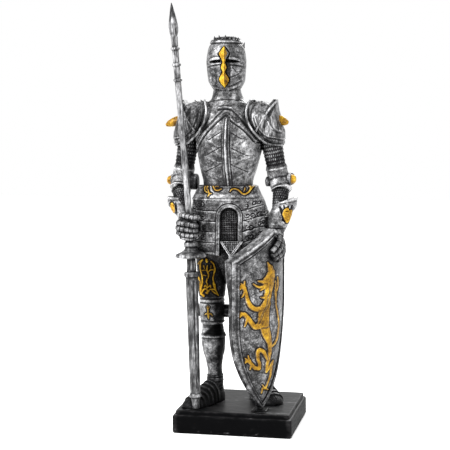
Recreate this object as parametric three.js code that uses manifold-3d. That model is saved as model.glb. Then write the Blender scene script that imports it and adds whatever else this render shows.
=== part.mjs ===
// A cast figurine of a standing knight in plate armour, with lance and heater shield, on a stepped plinth.
// Millimetres, +Z up, the plinth's underside on z = 0, the front towards -Y.
import * as THREE from 'three';
import { mergeVertices } from 'three/addons/utils/BufferGeometryUtils.js';
import Module from 'manifold-3d';

const wasm = await Module();
wasm.setup();

// Plinth: two tiers with a narrow ledge
const plinthWidth = 85;
const plinthDepth = 79;
const lowerTier = 13.2;
const upperTier = 3;
const ledge = 1.65;
const plinthEdge = 0.9;
const plinthTop = lowerTier + upperTier;

// Figure: its pose, proportions and carving are drawn on a grid of so many units from sole to crest
const figureHeight = 264;
const gridUnits = 264;
const unit = figureHeight / gridUnits;
const figureX = -10;
const plateRelief = 0.8;

// Lance: it stands on the plinth, leans through the right fist and rises past the helm
const lanceFoot = [-27.2, -30.2];
const lanceReach = 285;
const lanceGrip = [-32.1, -25.6];
const lanceGripHeight = 128;
const lanceTipShift = [-13.3, 0.6];
const lowerShaft = 8.8;
const footShaft = 6.4;
const upperShaft = 4.4;
const bladeWidth = 6.6;
const bladeLength = 22;
const guardDiameter = 22.4;
const guardThickness = 4;
const guardBelowGrip = 19.3;

// Shield: curved about its height, its tip on the block that the plinth carries
const shieldWidth = 53.4;
const shieldCorner = 105.5;
const shieldPeak = 127;
const shieldPeakAcross = 3.3;
const shieldStraight = 77;
const shieldBulge = 11.8;
const shieldBow = 8.6;
const shieldThickness = 3.6;
const shieldTopThickness = 6.8;
const shieldThickening = [76, 98];
const shieldSpread = 0.09;
const shieldRim = 3.65;
const shieldRimRise = 1;
const shieldTurn = 57.4;
const shieldPlace = [17.1, -25];
const blockHeight = 1.2;
const blockSize = [11, 12];
const lionRise = 0.8;

// Gap between two pieces that touch
const clearance = 0.3;

const silver = { roughness: 0.42, metalness: 0.75 };
const sidesOfBody = 18;
const sidesOfLimb = 10;
const sidesOfRod = 10;

// A closed triangle mesh as a solid that can be joined and cut
function solidOf(geometry) {
  geometry.deleteAttribute('normal');
  geometry.deleteAttribute('uv');
  const merged = mergeVertices(geometry, 1e-4);
  const corners = merged.index.array;
  const kept = [];
  for (let i = 0; i < corners.length; i += 3) {
    const [a, b, c] = [corners[i], corners[i + 1], corners[i + 2]];
    if (a !== b && b !== c && c !== a) kept.push(a, b, c);
  }
  return new wasm.Manifold(new wasm.Mesh({
    numProp: 3,
    vertProperties: new Float32Array(merged.attributes.position.array),
    triVerts: new Uint32Array(kept),
  }));
}

const joined = (solids) => wasm.Manifold.union(solids);

// The named mesh of a finished solid
function meshOf(solid, name, finish) {
  const { vertProperties, triVerts } = solid.getMesh();
  const geometry = new THREE.BufferGeometry();
  geometry.setAttribute('position', new THREE.BufferAttribute(new Float32Array(vertProperties), 3));
  geometry.setIndex(new THREE.BufferAttribute(new Uint32Array(triVerts), 1));
  geometry.computeVertexNormals();
  const mesh = new THREE.Mesh(geometry, new THREE.MeshStandardMaterial(finish));
  mesh.name = name;
  return mesh;
}

// A solid skinned over rings of equally many points, its ends closed by fans or by strips
function loft(rings, ends = fanEnd) {
  const count = rings[0].length;
  const points = rings.flat();
  const faces = [];
  for (let r = 0; r + 1 < rings.length; r++) {
    for (let i = 0; i < count; i++) {
      const next = (i + 1) % count;
      const [a, b] = [r * count + i, r * count + next];
      faces.push(a, b, b + count, a, b + count, a + count);
    }
  }
  const last = (rings.length - 1) * count;
  faces.push(...ends(points, 0, count).reverse(), ...ends(points, last, count));
  const geometry = new THREE.BufferGeometry().setFromPoints(points);
  geometry.setIndex(faces);
  const solid = solidOf(geometry);
  return solid.volume() < 0 ? solidOf(flipped(geometry)) : solid;
}

function flipped(geometry) {
  const corners = Array.from(geometry.index.array);
  for (let i = 0; i < corners.length; i += 3) {
    [corners[i], corners[i + 1]] = [corners[i + 1], corners[i]];
  }
  return geometry.setIndex(corners);
}

function fanEnd(points, first, count) {
  const ring = points.slice(first, first + count);
  points.push(ring.reduce((sum, p) => sum.add(p), new THREE.Vector3()).divideScalar(count));
  return ring.flatMap((_, i) => [points.length - 1, first + i, first + ((i + 1) % count)]);
}

function stripEnd(points, first, count) {
  return Array.from({ length: count / 2 - 1 }, (_, i) => {
    const [a, b] = [first + i, first + count - 1 - i];
    return [a, a + 1, b - 1, a, b - 1, b];
  }).flat();
}

// One rounded section: power 2 is an ellipse, more is squarer
function section(centre, across, deep, half, power, sides) {
  return Array.from({ length: sides }, (_, i) => {
    const angle = (2 * Math.PI * i) / sides;
    const [c, s] = [Math.cos(angle), Math.sin(angle)];
    const reach = (Math.abs(c) ** power + Math.abs(s) ** power) ** (-1 / power);
    return centre.clone()
      .addScaledVector(across, half[0] * c * reach)
      .addScaledVector(deep, half[1] * s * reach);
  });
}

// A body of level sections in grid units: [z, x, y, half width, half depth, turn in degrees]
function stack(levels, { sides = sidesOfBody, power = 2, grow = 0 } = {}) {
  return loft(levels.map(([z, x, y, wide, deep, turn = 0]) => {
    const angle = THREE.MathUtils.degToRad(turn);
    const across = new THREE.Vector3(Math.cos(angle), Math.sin(angle), 0);
    const back = new THREE.Vector3(-Math.sin(angle), Math.cos(angle), 0);
    const half = [(wide + grow) * unit, (deep + grow) * unit];
    return section(grid(x, y, z), across, back, half, power, sides);
  }));
}

// A limb along stations in grid units, its sections square to its line:
// [x, y, z, half width, half depth, rise of the +X edge]
function limb(stations, { sides = sidesOfLimb, power = 2 } = {}) {
  const places = stations.map(([x, y, z]) => grid(x, y, z));
  return loft(stations.map(([, , , wide, deep, rise = 0], i) => {
    const before = places[Math.max(i - 1, 0)];
    const after = places[Math.min(i + 1, places.length - 1)];
    const along = after.clone().sub(before).normalize();
    const across = new THREE.Vector3(0, 1, 0).cross(along);
    if (across.length() < 0.3) across.set(1, 0, 0);
    across.normalize();
    const back = along.clone().cross(across);
    across.z += (Math.sign(across.x) * rise) / wide;
    return section(places[i], across, back, [wide * unit, deep * unit], power, sides);
  }));
}

// A four-sided bar through points given in grid units
function bar(points, radius) {
  const curve = new THREE.CatmullRomCurve3(points.map(([x, y, z]) => grid(x, y, z)));
  const outline = new THREE.Shape([1, 3, 5, 7].map((eighth) => {
    const angle = (eighth * Math.PI) / 4;
    return new THREE.Vector2(Math.cos(angle), Math.sin(angle)).multiplyScalar(radius * unit);
  }));
  return solidOf(new THREE.ExtrudeGeometry(outline, { steps: points.length - 1, extrudePath: curve }));
}

// An outline seen from the front, in grid units, running back from y = near to y = far
function frontPiece(outline, near, far) {
  const shape = new THREE.Shape(outline.map(([x, z]) => new THREE.Vector2(x, z).multiplyScalar(unit)));
  const geometry = new THREE.ExtrudeGeometry(shape, { depth: (far - near) * unit, bevelEnabled: false });
  geometry.rotateX(Math.PI / 2);
  geometry.translate(0, far * unit, 0);
  return solidOf(geometry);
}

function grid(x, y, z) {
  return new THREE.Vector3(x, y, z).multiplyScalar(unit);
}

// The same forms on the figure's two sides: side is -1 for its right arm, +1 for its left
const mirrored = (side, axis, x) => axis + side * (x - axis);

// A solid turned about the z axis from [radius, height] points
function turned(profile, sides = sidesOfRod) {
  const outline = profile.map(([radius, height]) => new THREE.Vector2(radius, height));
  return solidOf(new THREE.LatheGeometry(outline, sides).rotateX(Math.PI / 2));
}

const placed = (solid, group) => {
  group.updateMatrixWorld(true);
  return solid.transform(group.matrixWorld.elements);
};

// Helm
const helmLevels = [
  [224.5, -0.9, 0, 8.8, 9.2, 3],
  [227.4, -1, 0, 10.8, 12.9, 3],
  [232.6, -1.1, 0, 13.2, 15.4, 3],
  [245, -1.3, 0, 14.2, 16.4, 3],
  [256, -1.3, 0, 12.5, 14.2, 3],
  [259.2, -1.3, 0, 11.2, 12.8, 3],
  [259.4, -1.3, 0, 11.9, 13.5, 3],
  [261, -1.3, 0, 11.3, 12.9, 3],
  [261.2, -1.3, 0, 9.6, 11.2, 3],
];

function helm() {
  const shell = stack(helmLevels, { sides: 14 });
  const slits = [[-13.4, -4.2], [3, 11.6]].map(([left, right]) =>
    frontPiece([[left, 243.6], [right, 243.6], [right, 245.9], [left, 245.9]], -20, -11));
  const gems = [[254.9, 245.2, 4.6], [246.6, 236.2, 2.4], [237, 224.8, 4.3]];
  const ridge = gems.map(([top, foot, wide]) => gem(top, foot, wide));
  const crest = stack([
    [261.2, -1.3, 0, 9.6, 11],
    [262.8, -1.3, 0, 8.4, 9.6],
    [264, -1.3, 0, 4.4, 5],
  ], { sides: 10 });
  return joined([shell, crest])
    .subtract(joined(slits))
    .add(joined(ridge));
}

// One lozenge of the helm's front ridge
function gem(top, foot, wide) {
  const middle = (top + foot) / 2;
  const [x, face, peak, root] = [-0.35, -15.2, -18.2, -9];
  const rows = [[top, 0.7], [middle, wide], [foot, 0.7]];
  return loft(rows.map(([z, half]) => [
    grid(x - half, face + (half / wide) * 0.3, z),
    grid(x, half === wide ? peak : face - 0.9, z),
    grid(x + half, face + (half / wide) * 0.3, z),
    grid(x, root, z),
  ]));
}

// Neck, breastplate and backplate
const trunkLevels = [
  [153, 0, 0, 18, 15.4, 8],
  [158, 0, 0, 17.8, 15.4, 7],
  [170, 0.4, 0, 20.6, 17.8, 6],
  [188, 1.1, 0, 24.2, 19.8, 5],
  [199, 1.1, 0, 25.4, 18.8, 4],
  [208, 0.9, 0.4, 24.6, 16, 4],
  [214.4, 0.2, 0.8, 18.6, 12.6, 4],
  [218.6, -0.6, 0.8, 11.8, 10.8, 4],
  [226, -0.9, 0.3, 9.4, 9, 3],
];
const keelX = 2.9;

function trunk() {
  const shell = stack(trunkLevels, { power: 2.15 });
  const grown = stack(trunkLevels, { power: 2.15, grow: plateRelief });
  const chevron = frontPiece([
    [keelX, 212], [27, 187.5], [24.5, 182], [keelX, 206.4], [-20.6, 182], [-23, 187.5],
  ], -24, -4);
  const keel = loft([
    [205.4, 0.5, 17.2], [198, 1.2, 20.8], [186, 1.5, 22.6], [172, 1.4, 21.2], [158, 0.6, 17.2],
  ].map(([z, half, out]) => [
    grid(keelX - half, -out + 1.6, z),
    grid(keelX, -out, z),
    grid(keelX + half, -out + 1.6, z),
    grid(keelX, -8, z),
  ]));
  return joined([shell, keel, chevron.intersect(grown)]);
}

// Belt and the five lames of the skirt; each lame steps out over the one above it
const beltLevels = [
  [143.6, 0, 0, 26.2, 21.4, 10],
  [146, 0, 0, 26, 21.2, 10],
  [151.6, 0, 0, 23.8, 19, 10],
  [157, 0, 0, 21.2, 17, 10],
];
// Upper edge of each lame: [height, x, half width]
const lameEdges = [[117.2, 1.5, 30.2], [124.8, 1.9, 30.2], [132.2, 2.2, 29.7], [139.6, 1.2, 28]];
const skirtLevels = [
  [108.4, 1.2, 0, 29.6, 23.8, 11],
  ...lameEdges.flatMap(([z, x, wide], row) => [
    [z - 0.3, x, 0, wide - 1, 23.1 - 0.6 * row, 11],
    [z, x, 0, wide, 24 - 0.6 * row, 11],
  ]),
  [144, 0, 0, 24.8, 20.2, 10],
];
const skirtTurn = 11;

// The arched opening at the front of the skirt, with a border and mail in its depth
function archOutline(half, crown, foot) {
  const centre = 5.2;
  const rise = Array.from({ length: 6 }, (_, i) => {
    const angle = (Math.PI * i) / 5;
    return [centre + half * Math.cos(angle), crown - half + half * Math.sin(angle)];
  });
  return [[centre - half, foot], [centre + half, foot], ...rise];
}

function skirt() {
  const band = stack(beltLevels);
  const lames = stack(skirtLevels);
  const grown = stack(skirtLevels, { grow: plateRelief });
  const border = frontPiece(archOutline(8.4, 143.4, 107.4), -30, -6);
  const opening = frontPiece(archOutline(6.5, 141.4, 100), -30, -6);
  const mail = stack([[104, 1, 0, 25, 19.4, skirtTurn], [146, 1, 0, 22, 17.6, skirtTurn]], { sides: 12 });
  const fork = stack([[86, -0.4, 1, 4, 5], [93, -0.4, 1, 9, 9], [110, 0, 1, 16, 14]], { sides: 8 });
  const apron = frontPiece([
    [-1.6, 118], [12, 118], [12, 114], [6.2, 105.4], [4.6, 105.4], [-1.6, 114],
  ], -25, -14);
  const tab = frontPiece([[3.6, 108.6], [7, 108.6], [6.6, 103.2], [4.2, 103.2]], -25.4, -14);
  return joined([band, lames, border.intersect(grown)])
    .subtract(opening)
    .add(joined([mail, fork, apron, tab]));
}

// Pauldron: bell over the shoulder, cap with its flange, rolled rims and the horn
const shoulderAxis = 0.9;
const bellLevels = [
  [217, 20.6, 0.6, 5.5, 6.5],
  [214.6, 22.8, 0.6, 9.2, 11.4],
  [210, 25.2, 0.4, 11, 14.8],
  [203, 26.9, 0, 11.2, 17.4],
  [196, 30.2, 0, 10.1, 17],
  [186.6, 35.4, 0, 5.2, 12.4],
];
// The rolled rim of the bell: [x, height, how far forward]
const rimLine = [
  [17.3, 217.3, 12.6], [15.3, 209.9, 16.8], [16.1, 203.8, 17.8], [19.4, 197.1, 17.6],
  [24.7, 191, 16.6], [30.4, 187, 13.6], [39.2, 185.9, 8.6],
];

function pauldron({ side, droop, reach, inset }) {
  const flip = (x) => mirrored(side, shoulderAxis, x);
  const levels = bellLevels.map(([z, x, y, wide, deep]) => [z, flip(x), y, wide, deep]);
  const bell = stack(levels, { sides: 12, power: 2.6 });
  const cap = stack([
    [196, flip(35), 0, 4.6, 10],
    [203, flip(32.8), 0, 5.6, 14.4],
    [210, flip(32), 0, 4.8, 12.8],
    [218.2, flip(34.4), 0, 1.3, 6.4],
  ], { sides: 8, power: 2.2 });
  const rims = [-1, 1].map((face) => bar(
    rimLine.map(([x, z, out]) => [flip(x + inset), face * out, z]), 1.1));
  const flange = bar([
    [flip(26.6), -16.8, 201.8], [flip(32), -13.6, 211], [flip(36.6), -6.6, 217.6],
  ], 1.1);
  const horn = limb([
    [flip(34), -1, 203.6, 4, 4.2],
    [flip(37.6 + reach * 0.2), -1, 203.4 - droop * 0.2, 3.8, 3.8],
    [flip(42 + reach * 0.8), -1, 202 - droop * 0.6, 2.6, 2.5],
    [flip(44.2 + reach), -1, 201.2 - droop, 1, 1],
  ], { sides: 6 });
  return joined([bell, cap, horn, flange, ...rims]);
}

// The point at a share of the way from a to b, and the point at a distance from another
const between = (a, b, share) => a.map((v, i) => v + (b[i] - v) * share);
const moved = (from, by) => from.map((v, i) => v + by[i]);

// Arm: mail sleeve, elbow cop with its disc, mail forearm and the flared cuff of the gauntlet
function arm({ side, shoulder, elbow, bell, wrist, palm, disc, boss, cuff }) {
  const cuffAt = moved(wrist, cuff.at);
  const plates = limb([
    [...shoulder, 9.4, 9.2],
    [...between(shoulder, elbow, 0.5), 7.1, 8],
    [...between(shoulder, elbow, 0.76), 6.8, 7.2],
    [...between(shoulder, elbow, 0.77), 7.4, 8],
    [...between(shoulder, elbow, 0.9), 7.5, 8.2],
    [...elbow, 7.6, 8.6],
    [...between(elbow, bell, 0.6), 7, 8],
    [...bell, 6.8, 7.6],
    [...between(bell, wrist, 0.03), 5.7, 5.6],
    [...between(bell, wrist, 0.7), 4.8, 4.8],
  ]);
  const gauntlet = limb([
    [...moved(cuffAt, [0, 0, 1.2]), cuff.half - 1.2, cuff.half - 1.6, cuff.rise],
    [...cuffAt, cuff.half, cuff.half - 0.4, cuff.rise],
    [...moved(cuffAt, [0, 0, -1.8]), cuff.half - 0.6, cuff.half - 1, cuff.rise],
    [...moved(wrist, cuff.waist), cuff.narrow, cuff.narrow, cuff.rise / 2],
    [...wrist, palm, 5.4],
  ]);
  const [x, y, z] = disc;
  const plate = limb([
    [x - side * 7, y + 3, z, 3, 5],
    [x - side * 4.4, y, z, 4.6, 5.4],
    [x - side * 3.4, y, z, 3.6, 4.4],
    [x - side * 1.2, y, z, 2.9, 3.4],
    [x, y, z, 1.3, 1.5],
  ], { sides: 8 });
  const [bossY, bossZ] = [elbow[1] - 3, elbow[2] - 2.6];
  const inner = limb([
    [elbow[0] - side * 4, bossY + 1, bossZ, boss.half, boss.half],
    [elbow[0] - side * (boss.reach - 0.8), bossY, bossZ, boss.half, boss.half - 0.4],
    [elbow[0] - side * boss.reach, bossY, bossZ, boss.half - 1.4, boss.half - 1.6],
  ], { sides: 6 });
  return joined([plates, gauntlet, plate, inner]);
}

// Paths of the fingers of the right fist, from the point that the hand grips: over, then under
const rightFingers = [
  [[-6.5, 4, 4.2], [-8, -2, 3.6], [-3.6, -5.4, 2.9], [2.8, -4.4, 1.6], [4.2, 1, 1.2]],
  [[-7.5, 4, 0.6], [-8.4, -2, 0.2], [-3.8, -5.8, -0.8], [2.6, -4.8, -1.8], [4, 1, -2]],
  [[-7, 4, -2.8], [-8, -2, -3], [-4, -5.4, -4.6], [2.2, -4.6, -5.4], [3.6, 1, -5.4]],
  [[-5, 4, -6], [-6, -1.6, -6.2], [-3, -4.6, -7.2], [1.6, -4, -7.8], [2.8, 1, -7.8]],
];
const rightThumb = [[-7, 2, 9], [-3.5, -3.4, 8.6], [2.6, -4, 7.4], [6.2, -1, 7]];

// Right fist: four plated fingers round the lance, the thumb over them and the back of the hand
function rightHand(grip, wrist) {
  const [x, y, z] = grip;
  const fromGrip = (path) => path.map((point) => moved(grip, point));
  const palm = limb([
    [...wrist, 3.8, 4.2],
    [x - 5.4, y + 7, z + 4.6, 5, 5.6],
    [x - 2, y + 4.4, z + 1.2, 6, 6],
    [x - 1.6, y + 3.4, z - 5, 4.4, 4.6],
  ], { sides: 10 });
  const fingers = rightFingers.map((path, i) => bar(fromGrip(path), i < 3 ? 1.9 : 1.5));
  return joined([palm, bar(fromGrip(rightThumb), 1.9), ...fingers]);
}

// Fingers of the left hand: where each leaves the hand, from the wrist, then its points on the
// shield by how far across, how far below the top edge and how far behind the face
const leftFingers = [
  { root: [-0.1, -1, -7.3], held: [[11, -1.7, 1.5], [7, 6.6, -1.2], [1.5, 12.2, -1.6], [-3, 12, -1.4]] },
  { root: [0.4, -1, -11.3], held: [[16, -2, 1.5], [10, 9.4, -1.2], [3, 17.2, -1.5], [-2.4, 15.6, -1.4]] },
  { root: [0.4, 0, -14.3], held: [[19, -1.4, 1.5], [12, 12.1, -1.2], [4.4, 20, -1.5], [-1, 19.2, -1.4]] },
  { root: [0, 1, -17.3], held: [[21.5, -1.1, 1.5], [13, 14.7, -1.2], [8, 19.9, -1.2], [3.6, 23.2, -1.2]] },
];

// Left hand: the back of the hand behind the shield, the fingers over its top edge
function leftHand(wrist) {
  const palm = limb([
    [...wrist, 6.8, 5.4],
    [...moved(wrist, [-1, -0.5, -6.3]), 5.4, 5.5],
    [...moved(wrist, [-1, -1.5, -12.3]), 5, 6],
    [...moved(wrist, [-1.6, -3, -17.8]), 3.8, 5],
  ], { sides: 10 });
  const fingers = leftFingers.map(({ root, held }) => (
    bar([moved(wrist, root), ...held.map(heldAt)], 1.8)
  ));
  return joined([palm, ...fingers]);
}

// Leg: cuisse, knee cop with its wing towards the figure's right, greave
function leg({ hip, knee, ankle, wingReach }) {
  const plates = limb([
    [...hip, 12.6, 13],
    [...between(hip, knee, 0.5), 10.6, 11.6],
    [...between(hip, knee, 0.82), 9.4, 10.4],
    [...between(hip, knee, 0.84), 8.4, 9.4],
    [...between(hip, knee, 0.87), 9.2, 10.8],
    [...between(knee, ankle, 0.04), 8.8, 11.8],
    [...between(knee, ankle, 0.18), 8.4, 9.8],
    [...between(knee, ankle, 0.2), 7.6, 8.6],
    [...between(knee, ankle, 0.35), 8.2, 9],
    [...between(knee, ankle, 0.37), 9, 9.8],
    [...between(knee, ankle, 0.58), 8.2, 9.4],
    [...between(knee, ankle, 0.8), 6, 6.8],
    [...between(knee, ankle, 0.94), 5.2, 6],
    [...between(knee, ankle, 1.1), 6.2, 7],
  ]);
  const wing = limb([
    [knee[0] - 6, knee[1] + 1, knee[2], 3.6, 4.4],
    [knee[0] - wingReach + 1.2, knee[1] + 2, knee[2], 4.6, 5.6],
    [knee[0] - wingReach, knee[1] + 2.4, knee[2], 3.4, 4.4],
  ], { sides: 8 });
  return joined([plates, wing]);
}

// Sabaton: arched sections along the foot's own line on the plinth, stepped at each lame
function sabaton({ heel, toe, arch, ankle }) {
  const path = new THREE.QuadraticBezierCurve3(grid(...heel, 0), grid(...arch, 0), grid(...toe, 0));
  const lames = [
    [0, 5, 9], [0.06, 6.6, 14], [0.2, 7.4, 17.5], [0.35, 7.6, 15.6],
    ...[0.36, 0.5, 0.64, 0.78].flatMap((t, i) => [
      [t, 7.6 + 0.3 * i, 14.4 - 2.6 * i],
      [t + 0.13, 7.9 + 0.3 * i - (i === 3 ? 1.2 : 0), 12.9 - 2.6 * i],
    ]),
    [0.95, 5.2, 4],
    [1, 2.2, 2.2],
  ];
  const foot = loft(lames.map(([t, wide, high]) => {
    const centre = path.getPoint(t);
    const along = path.getTangent(t);
    const across = new THREE.Vector3(0, 0, 1).cross(along).normalize();
    return Array.from({ length: 7 }, (_, i) => {
      const angle = (Math.PI * i) / 6;
      return centre.clone()
        .addScaledVector(across, wide * unit * Math.cos(angle))
        .setZ(high * unit * Math.sin(angle) ** 0.8);
    });
  }));
  const shaft = limb([[...ankle, 6.2, 7], [ankle[0], ankle[1] - 0.5, 8, 6.6, 8]]);
  return joined([foot, shaft]);
}

// Pose of the limbs, in grid units: hold is the wrist from the point that the hand grips, which on
// the left is over the shield, and the cuff's points are from the wrist
const rightLeg = {
  hip: [-12, -0.5, 120],
  knee: [-11.2, -3.5, 66],
  ankle: [-9.8, 0.5, 19],
  wingReach: 11.8,
  heel: [-9, 7],
  arch: [-12, -12],
  toe: [-25, -31.6],
};
const leftLeg = {
  hip: [10.6, 1, 120],
  knee: [12, -2.5, 66],
  ankle: [20, 14.5, 19],
  wingReach: 15.2,
  heel: [17.4, 21.4],
  arch: [25.6, 9],
  toe: [37.4, -9],
};
const rightArm = {
  side: -1,
  shoulder: [-27.9, 1, 198],
  elbow: [-34.8, 5, 162],
  bell: [-35.2, -1, 153.6],
  hold: [-6.6, 8.6, 5.5],
  palm: 3.9,
  disc: [-46.4, 5, 160.3],
  boss: { reach: 12.2, half: 5.8 },
  cuff: { at: [-8.8, 9, 14], half: 5.9, waist: [-4.8, 5, 7.7], narrow: 5, rise: -0.5 },
};
const leftArm = {
  side: 1,
  shoulder: [29.4, 1, 198],
  elbow: [35.8, 5, 162.5],
  bell: [38.2, 2, 153.9],
  over: [12, 8, 8],
  hold: [2.84, 7.65, 14.95],
  palm: 7,
  disc: [48.6, 5, 161.7],
  boss: { reach: 8.9, half: 3.5 },
  cuff: { at: [5.1, 6, 15.6], half: 8.1, waist: [2.2, 3.3, 8.6], narrow: 7.9, rise: 2.4 },
};

// Knight: one casting, cut clear of the lance and the shield that it holds
function knight() {
  const legs = [rightLeg, leftLeg].flatMap((pose) => [leg(pose), sabaton(pose)]);
  const rightGrip = [lanceGrip[0] - figureX, lanceGrip[1], lanceGripHeight].map((v) => v / unit);
  const rightWrist = moved(rightGrip, rightArm.hold);
  const leftWrist = moved(heldAt(leftArm.over), leftArm.hold);
  const arms = [
    arm({ ...rightArm, wrist: rightWrist }),
    arm({ ...leftArm, wrist: leftWrist }),
    rightHand(rightGrip, rightWrist),
    leftHand(leftWrist),
  ];
  const shoulders = [
    pauldron({ side: -1, droop: 0.9, reach: 3.3, inset: -1 }),
    pauldron({ side: 1, droop: -0.4, reach: -0.4, inset: 1 }),
  ];
  const whole = joined([helm(), trunk(), skirt(), ...shoulders, ...legs, ...arms]);
  return whole
    .translate([figureX, 0, plinthTop])
    .subtract(lance(clearance))
    .subtract(shield(clearance));
}

// Lance: below and above the grip the two lengths lean a little differently
function lanceLengths() {
  const foot = new THREE.Vector3(...lanceFoot, plinthTop);
  const grip = new THREE.Vector3(...lanceGrip, plinthTop + lanceGripHeight);
  const rise = lanceReach - lanceGripHeight;
  const tip = grip.clone().add(new THREE.Vector3(...lanceTipShift, rise));
  return { foot, grip, tip };
}

function leaning(solid, from, to) {
  const group = new THREE.Group();
  group.position.copy(from);
  group.quaternion.setFromUnitVectors(new THREE.Vector3(0, 0, 1), to.clone().sub(from).normalize());
  return placed(solid, group);
}

function lance(gap = 0) {
  const { foot, grip, tip } = lanceLengths();
  const [lowerLength, upperLength] = [foot.distanceTo(grip), grip.distanceTo(tip)];
  const guard = lowerLength - guardBelowGrip;
  const [thick, thin] = [lowerShaft / 2 + gap, upperShaft / 2 + gap];
  const lower = [
    [0, -1], [footShaft / 2 - 0.4 + gap, -1], [footShaft / 2 - 0.4 + gap, 5], [footShaft / 2 + gap, 8],
    [footShaft / 2 + 1 + gap, 8.6], [footShaft / 2 + 1 + gap, 10.2], [footShaft / 2 + 0.5 + gap, 11],
    [thick, guard - 28], [thick + 0.1, guard - 15.4], [thick + 1, guard - 15], [thick + 1, guard - 12],
    [thick - 1, guard - 11.6], [thick - 1.3, guard - 2.4], [guardDiameter / 2 - 1 + gap, guard - 2],
    [guardDiameter / 2 + gap, guard - 0.6], [guardDiameter / 2 - 0.6 + gap, guard + guardThickness * 0.3],
    [thick + 0.6, guard + guardThickness], [thick - 0.4, guard + guardThickness + 1.4],
    [thick + 0.7, guard + guardThickness + 3], [thick + 0.3, guard + guardThickness + 5],
    [thick - 0.8, guard + guardThickness + 6.4], [thin, guard + guardThickness + 9],
    [thin, lowerLength + 0.6], [0, lowerLength + 0.6],
  ];
  const bladeFoot = upperLength - bladeLength;
  const upper = [
    [0, -0.6], [thin, -0.6], [thin, bladeFoot - 33.2],
    ...[33, 22.4, 11.2].flatMap((below) => [
      [thin, bladeFoot - below],
      [thin + 0.9, bladeFoot - below + 0.8],
      [thin + 0.9, bladeFoot - below + 1.8],
      [thin, bladeFoot - below + 2.6],
    ]),
    [thin + 0.2, bladeFoot - 2], [thin * 0.7, bladeFoot + 3], [0, bladeFoot + 3],
  ];
  const blade = [
    [-4, 0.3, 0.3], [0, 0.42, 0.62], [bladeLength * 0.2, 0.5, 0.62], [bladeLength * 0.5, 0.4, 0.5],
    [bladeLength * 0.8, 0.2, 0.34], [bladeLength, 0.04, 0.1],
  ].map(([height, wide, deep]) => [
    new THREE.Vector3(-wide * bladeWidth - gap, 0, bladeFoot + height),
    new THREE.Vector3(0, -deep * upperShaft - gap, bladeFoot + height),
    new THREE.Vector3(wide * bladeWidth + gap, 0, bladeFoot + height),
    new THREE.Vector3(0, deep * upperShaft + gap, bladeFoot + height),
  ]);
  const floor = new THREE.BoxGeometry(plinthWidth, plinthDepth, 8).translate(0, 0, plinthTop - 4);
  return joined([
    leaning(turned(lower), foot, grip),
    leaning(joined([turned(upper, 6), loft(blade)]), grip, tip),
  ]).subtract(solidOf(floor));
}

// Shield: a point of it by how far across, how high above the tip and how far behind the face
const shieldNormal = new THREE.Vector3(0, -1, 0).applyAxisAngle(
  new THREE.Vector3(0, 0, 1), THREE.MathUtils.degToRad(shieldTurn));
const shieldAcross = new THREE.Vector3(0, 0, 1).cross(shieldNormal).normalize();
const shieldFoot = plinthTop + blockHeight;

function shieldPoint(across, height, behind) {
  const half = shieldWidth / 2;
  const low = Math.max(0, 1 - height / shieldStraight);
  const bulge = shieldBulge * (1 - (across / half) ** 2) - shieldBow * low ** 1.5;
  return new THREE.Vector3(...shieldPlace, shieldFoot + height)
    .addScaledVector(shieldAcross, across)
    .addScaledVector(shieldNormal, bulge - behind);
}

// A point below the shield's top edge, in the knight's own grid units
function heldAt([across, below, behind]) {
  const at = shieldPoint(across, shieldTop(across) - below, behind);
  return [at.x - figureX, at.y, at.z - plinthTop].map((v) => v / unit);
}

function shieldHalf(height) {
  return (shieldWidth / 2) * (1 - Math.max(0, 1 - height / shieldStraight) ** 2.86);
}

function shieldTop(across) {
  const beyond = across - shieldPeakAcross;
  const reach = shieldWidth / 2 - Math.sign(beyond) * shieldPeakAcross;
  const share = Math.max(0, 1 - Math.abs(beyond) / reach);
  return shieldCorner + (shieldPeak - shieldCorner) * share ** (beyond < 0 ? 0.92 : 0.55);
}

function shieldDepth(height) {
  const above = Math.max(0, height - shieldThickening[1]);
  return THREE.MathUtils.lerp(
    shieldThickness,
    shieldTopThickness,
    THREE.MathUtils.smoothstep(height, ...shieldThickening),
  ) + shieldSpread * above;
}

// The plate between two depths, drawn in by inset from its outline, and grown by gap
function shieldPlate(inset, cells, front, backAt, gap = 0) {
  const rows = 8;
  const foot = inset * 1.6;
  const full = shieldWidth / 2 - inset;
  const outlines = [];
  for (let r = 0; r <= rows; r++) {
    const rise = 1 - (1 - r / rows) ** 1.25;
    const lift = r === rows ? gap : 0;
    const ring = [];
    for (const rear of [false, true]) {
      for (let i = 0; i <= cells; i++) {
        const share = (2 * (rear ? cells - i : i)) / cells - 1;
        const top = shieldTop(share * full) - inset;
        const height = foot + (top - foot) * rise;
        const half = Math.max(1.2, shieldHalf(Math.min(height, shieldStraight)) - inset);
        const behind = rear ? backAt(height) + gap : front - gap;
        ring.push(shieldPoint(share * (Math.min(half, full) + gap), height + lift, behind));
      }
    }
    outlines.push(ring);
  }
  return loft(outlines, stripEnd);
}

function shield(gap = 0) {
  const body = shieldPlate(0, 8, 0, shieldDepth, gap);
  const field = shieldPlate(shieldRim, 9, -5, () => shieldRimRise);
  if (gap) return body;
  return body.subtract(field).add(lion());
}

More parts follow.
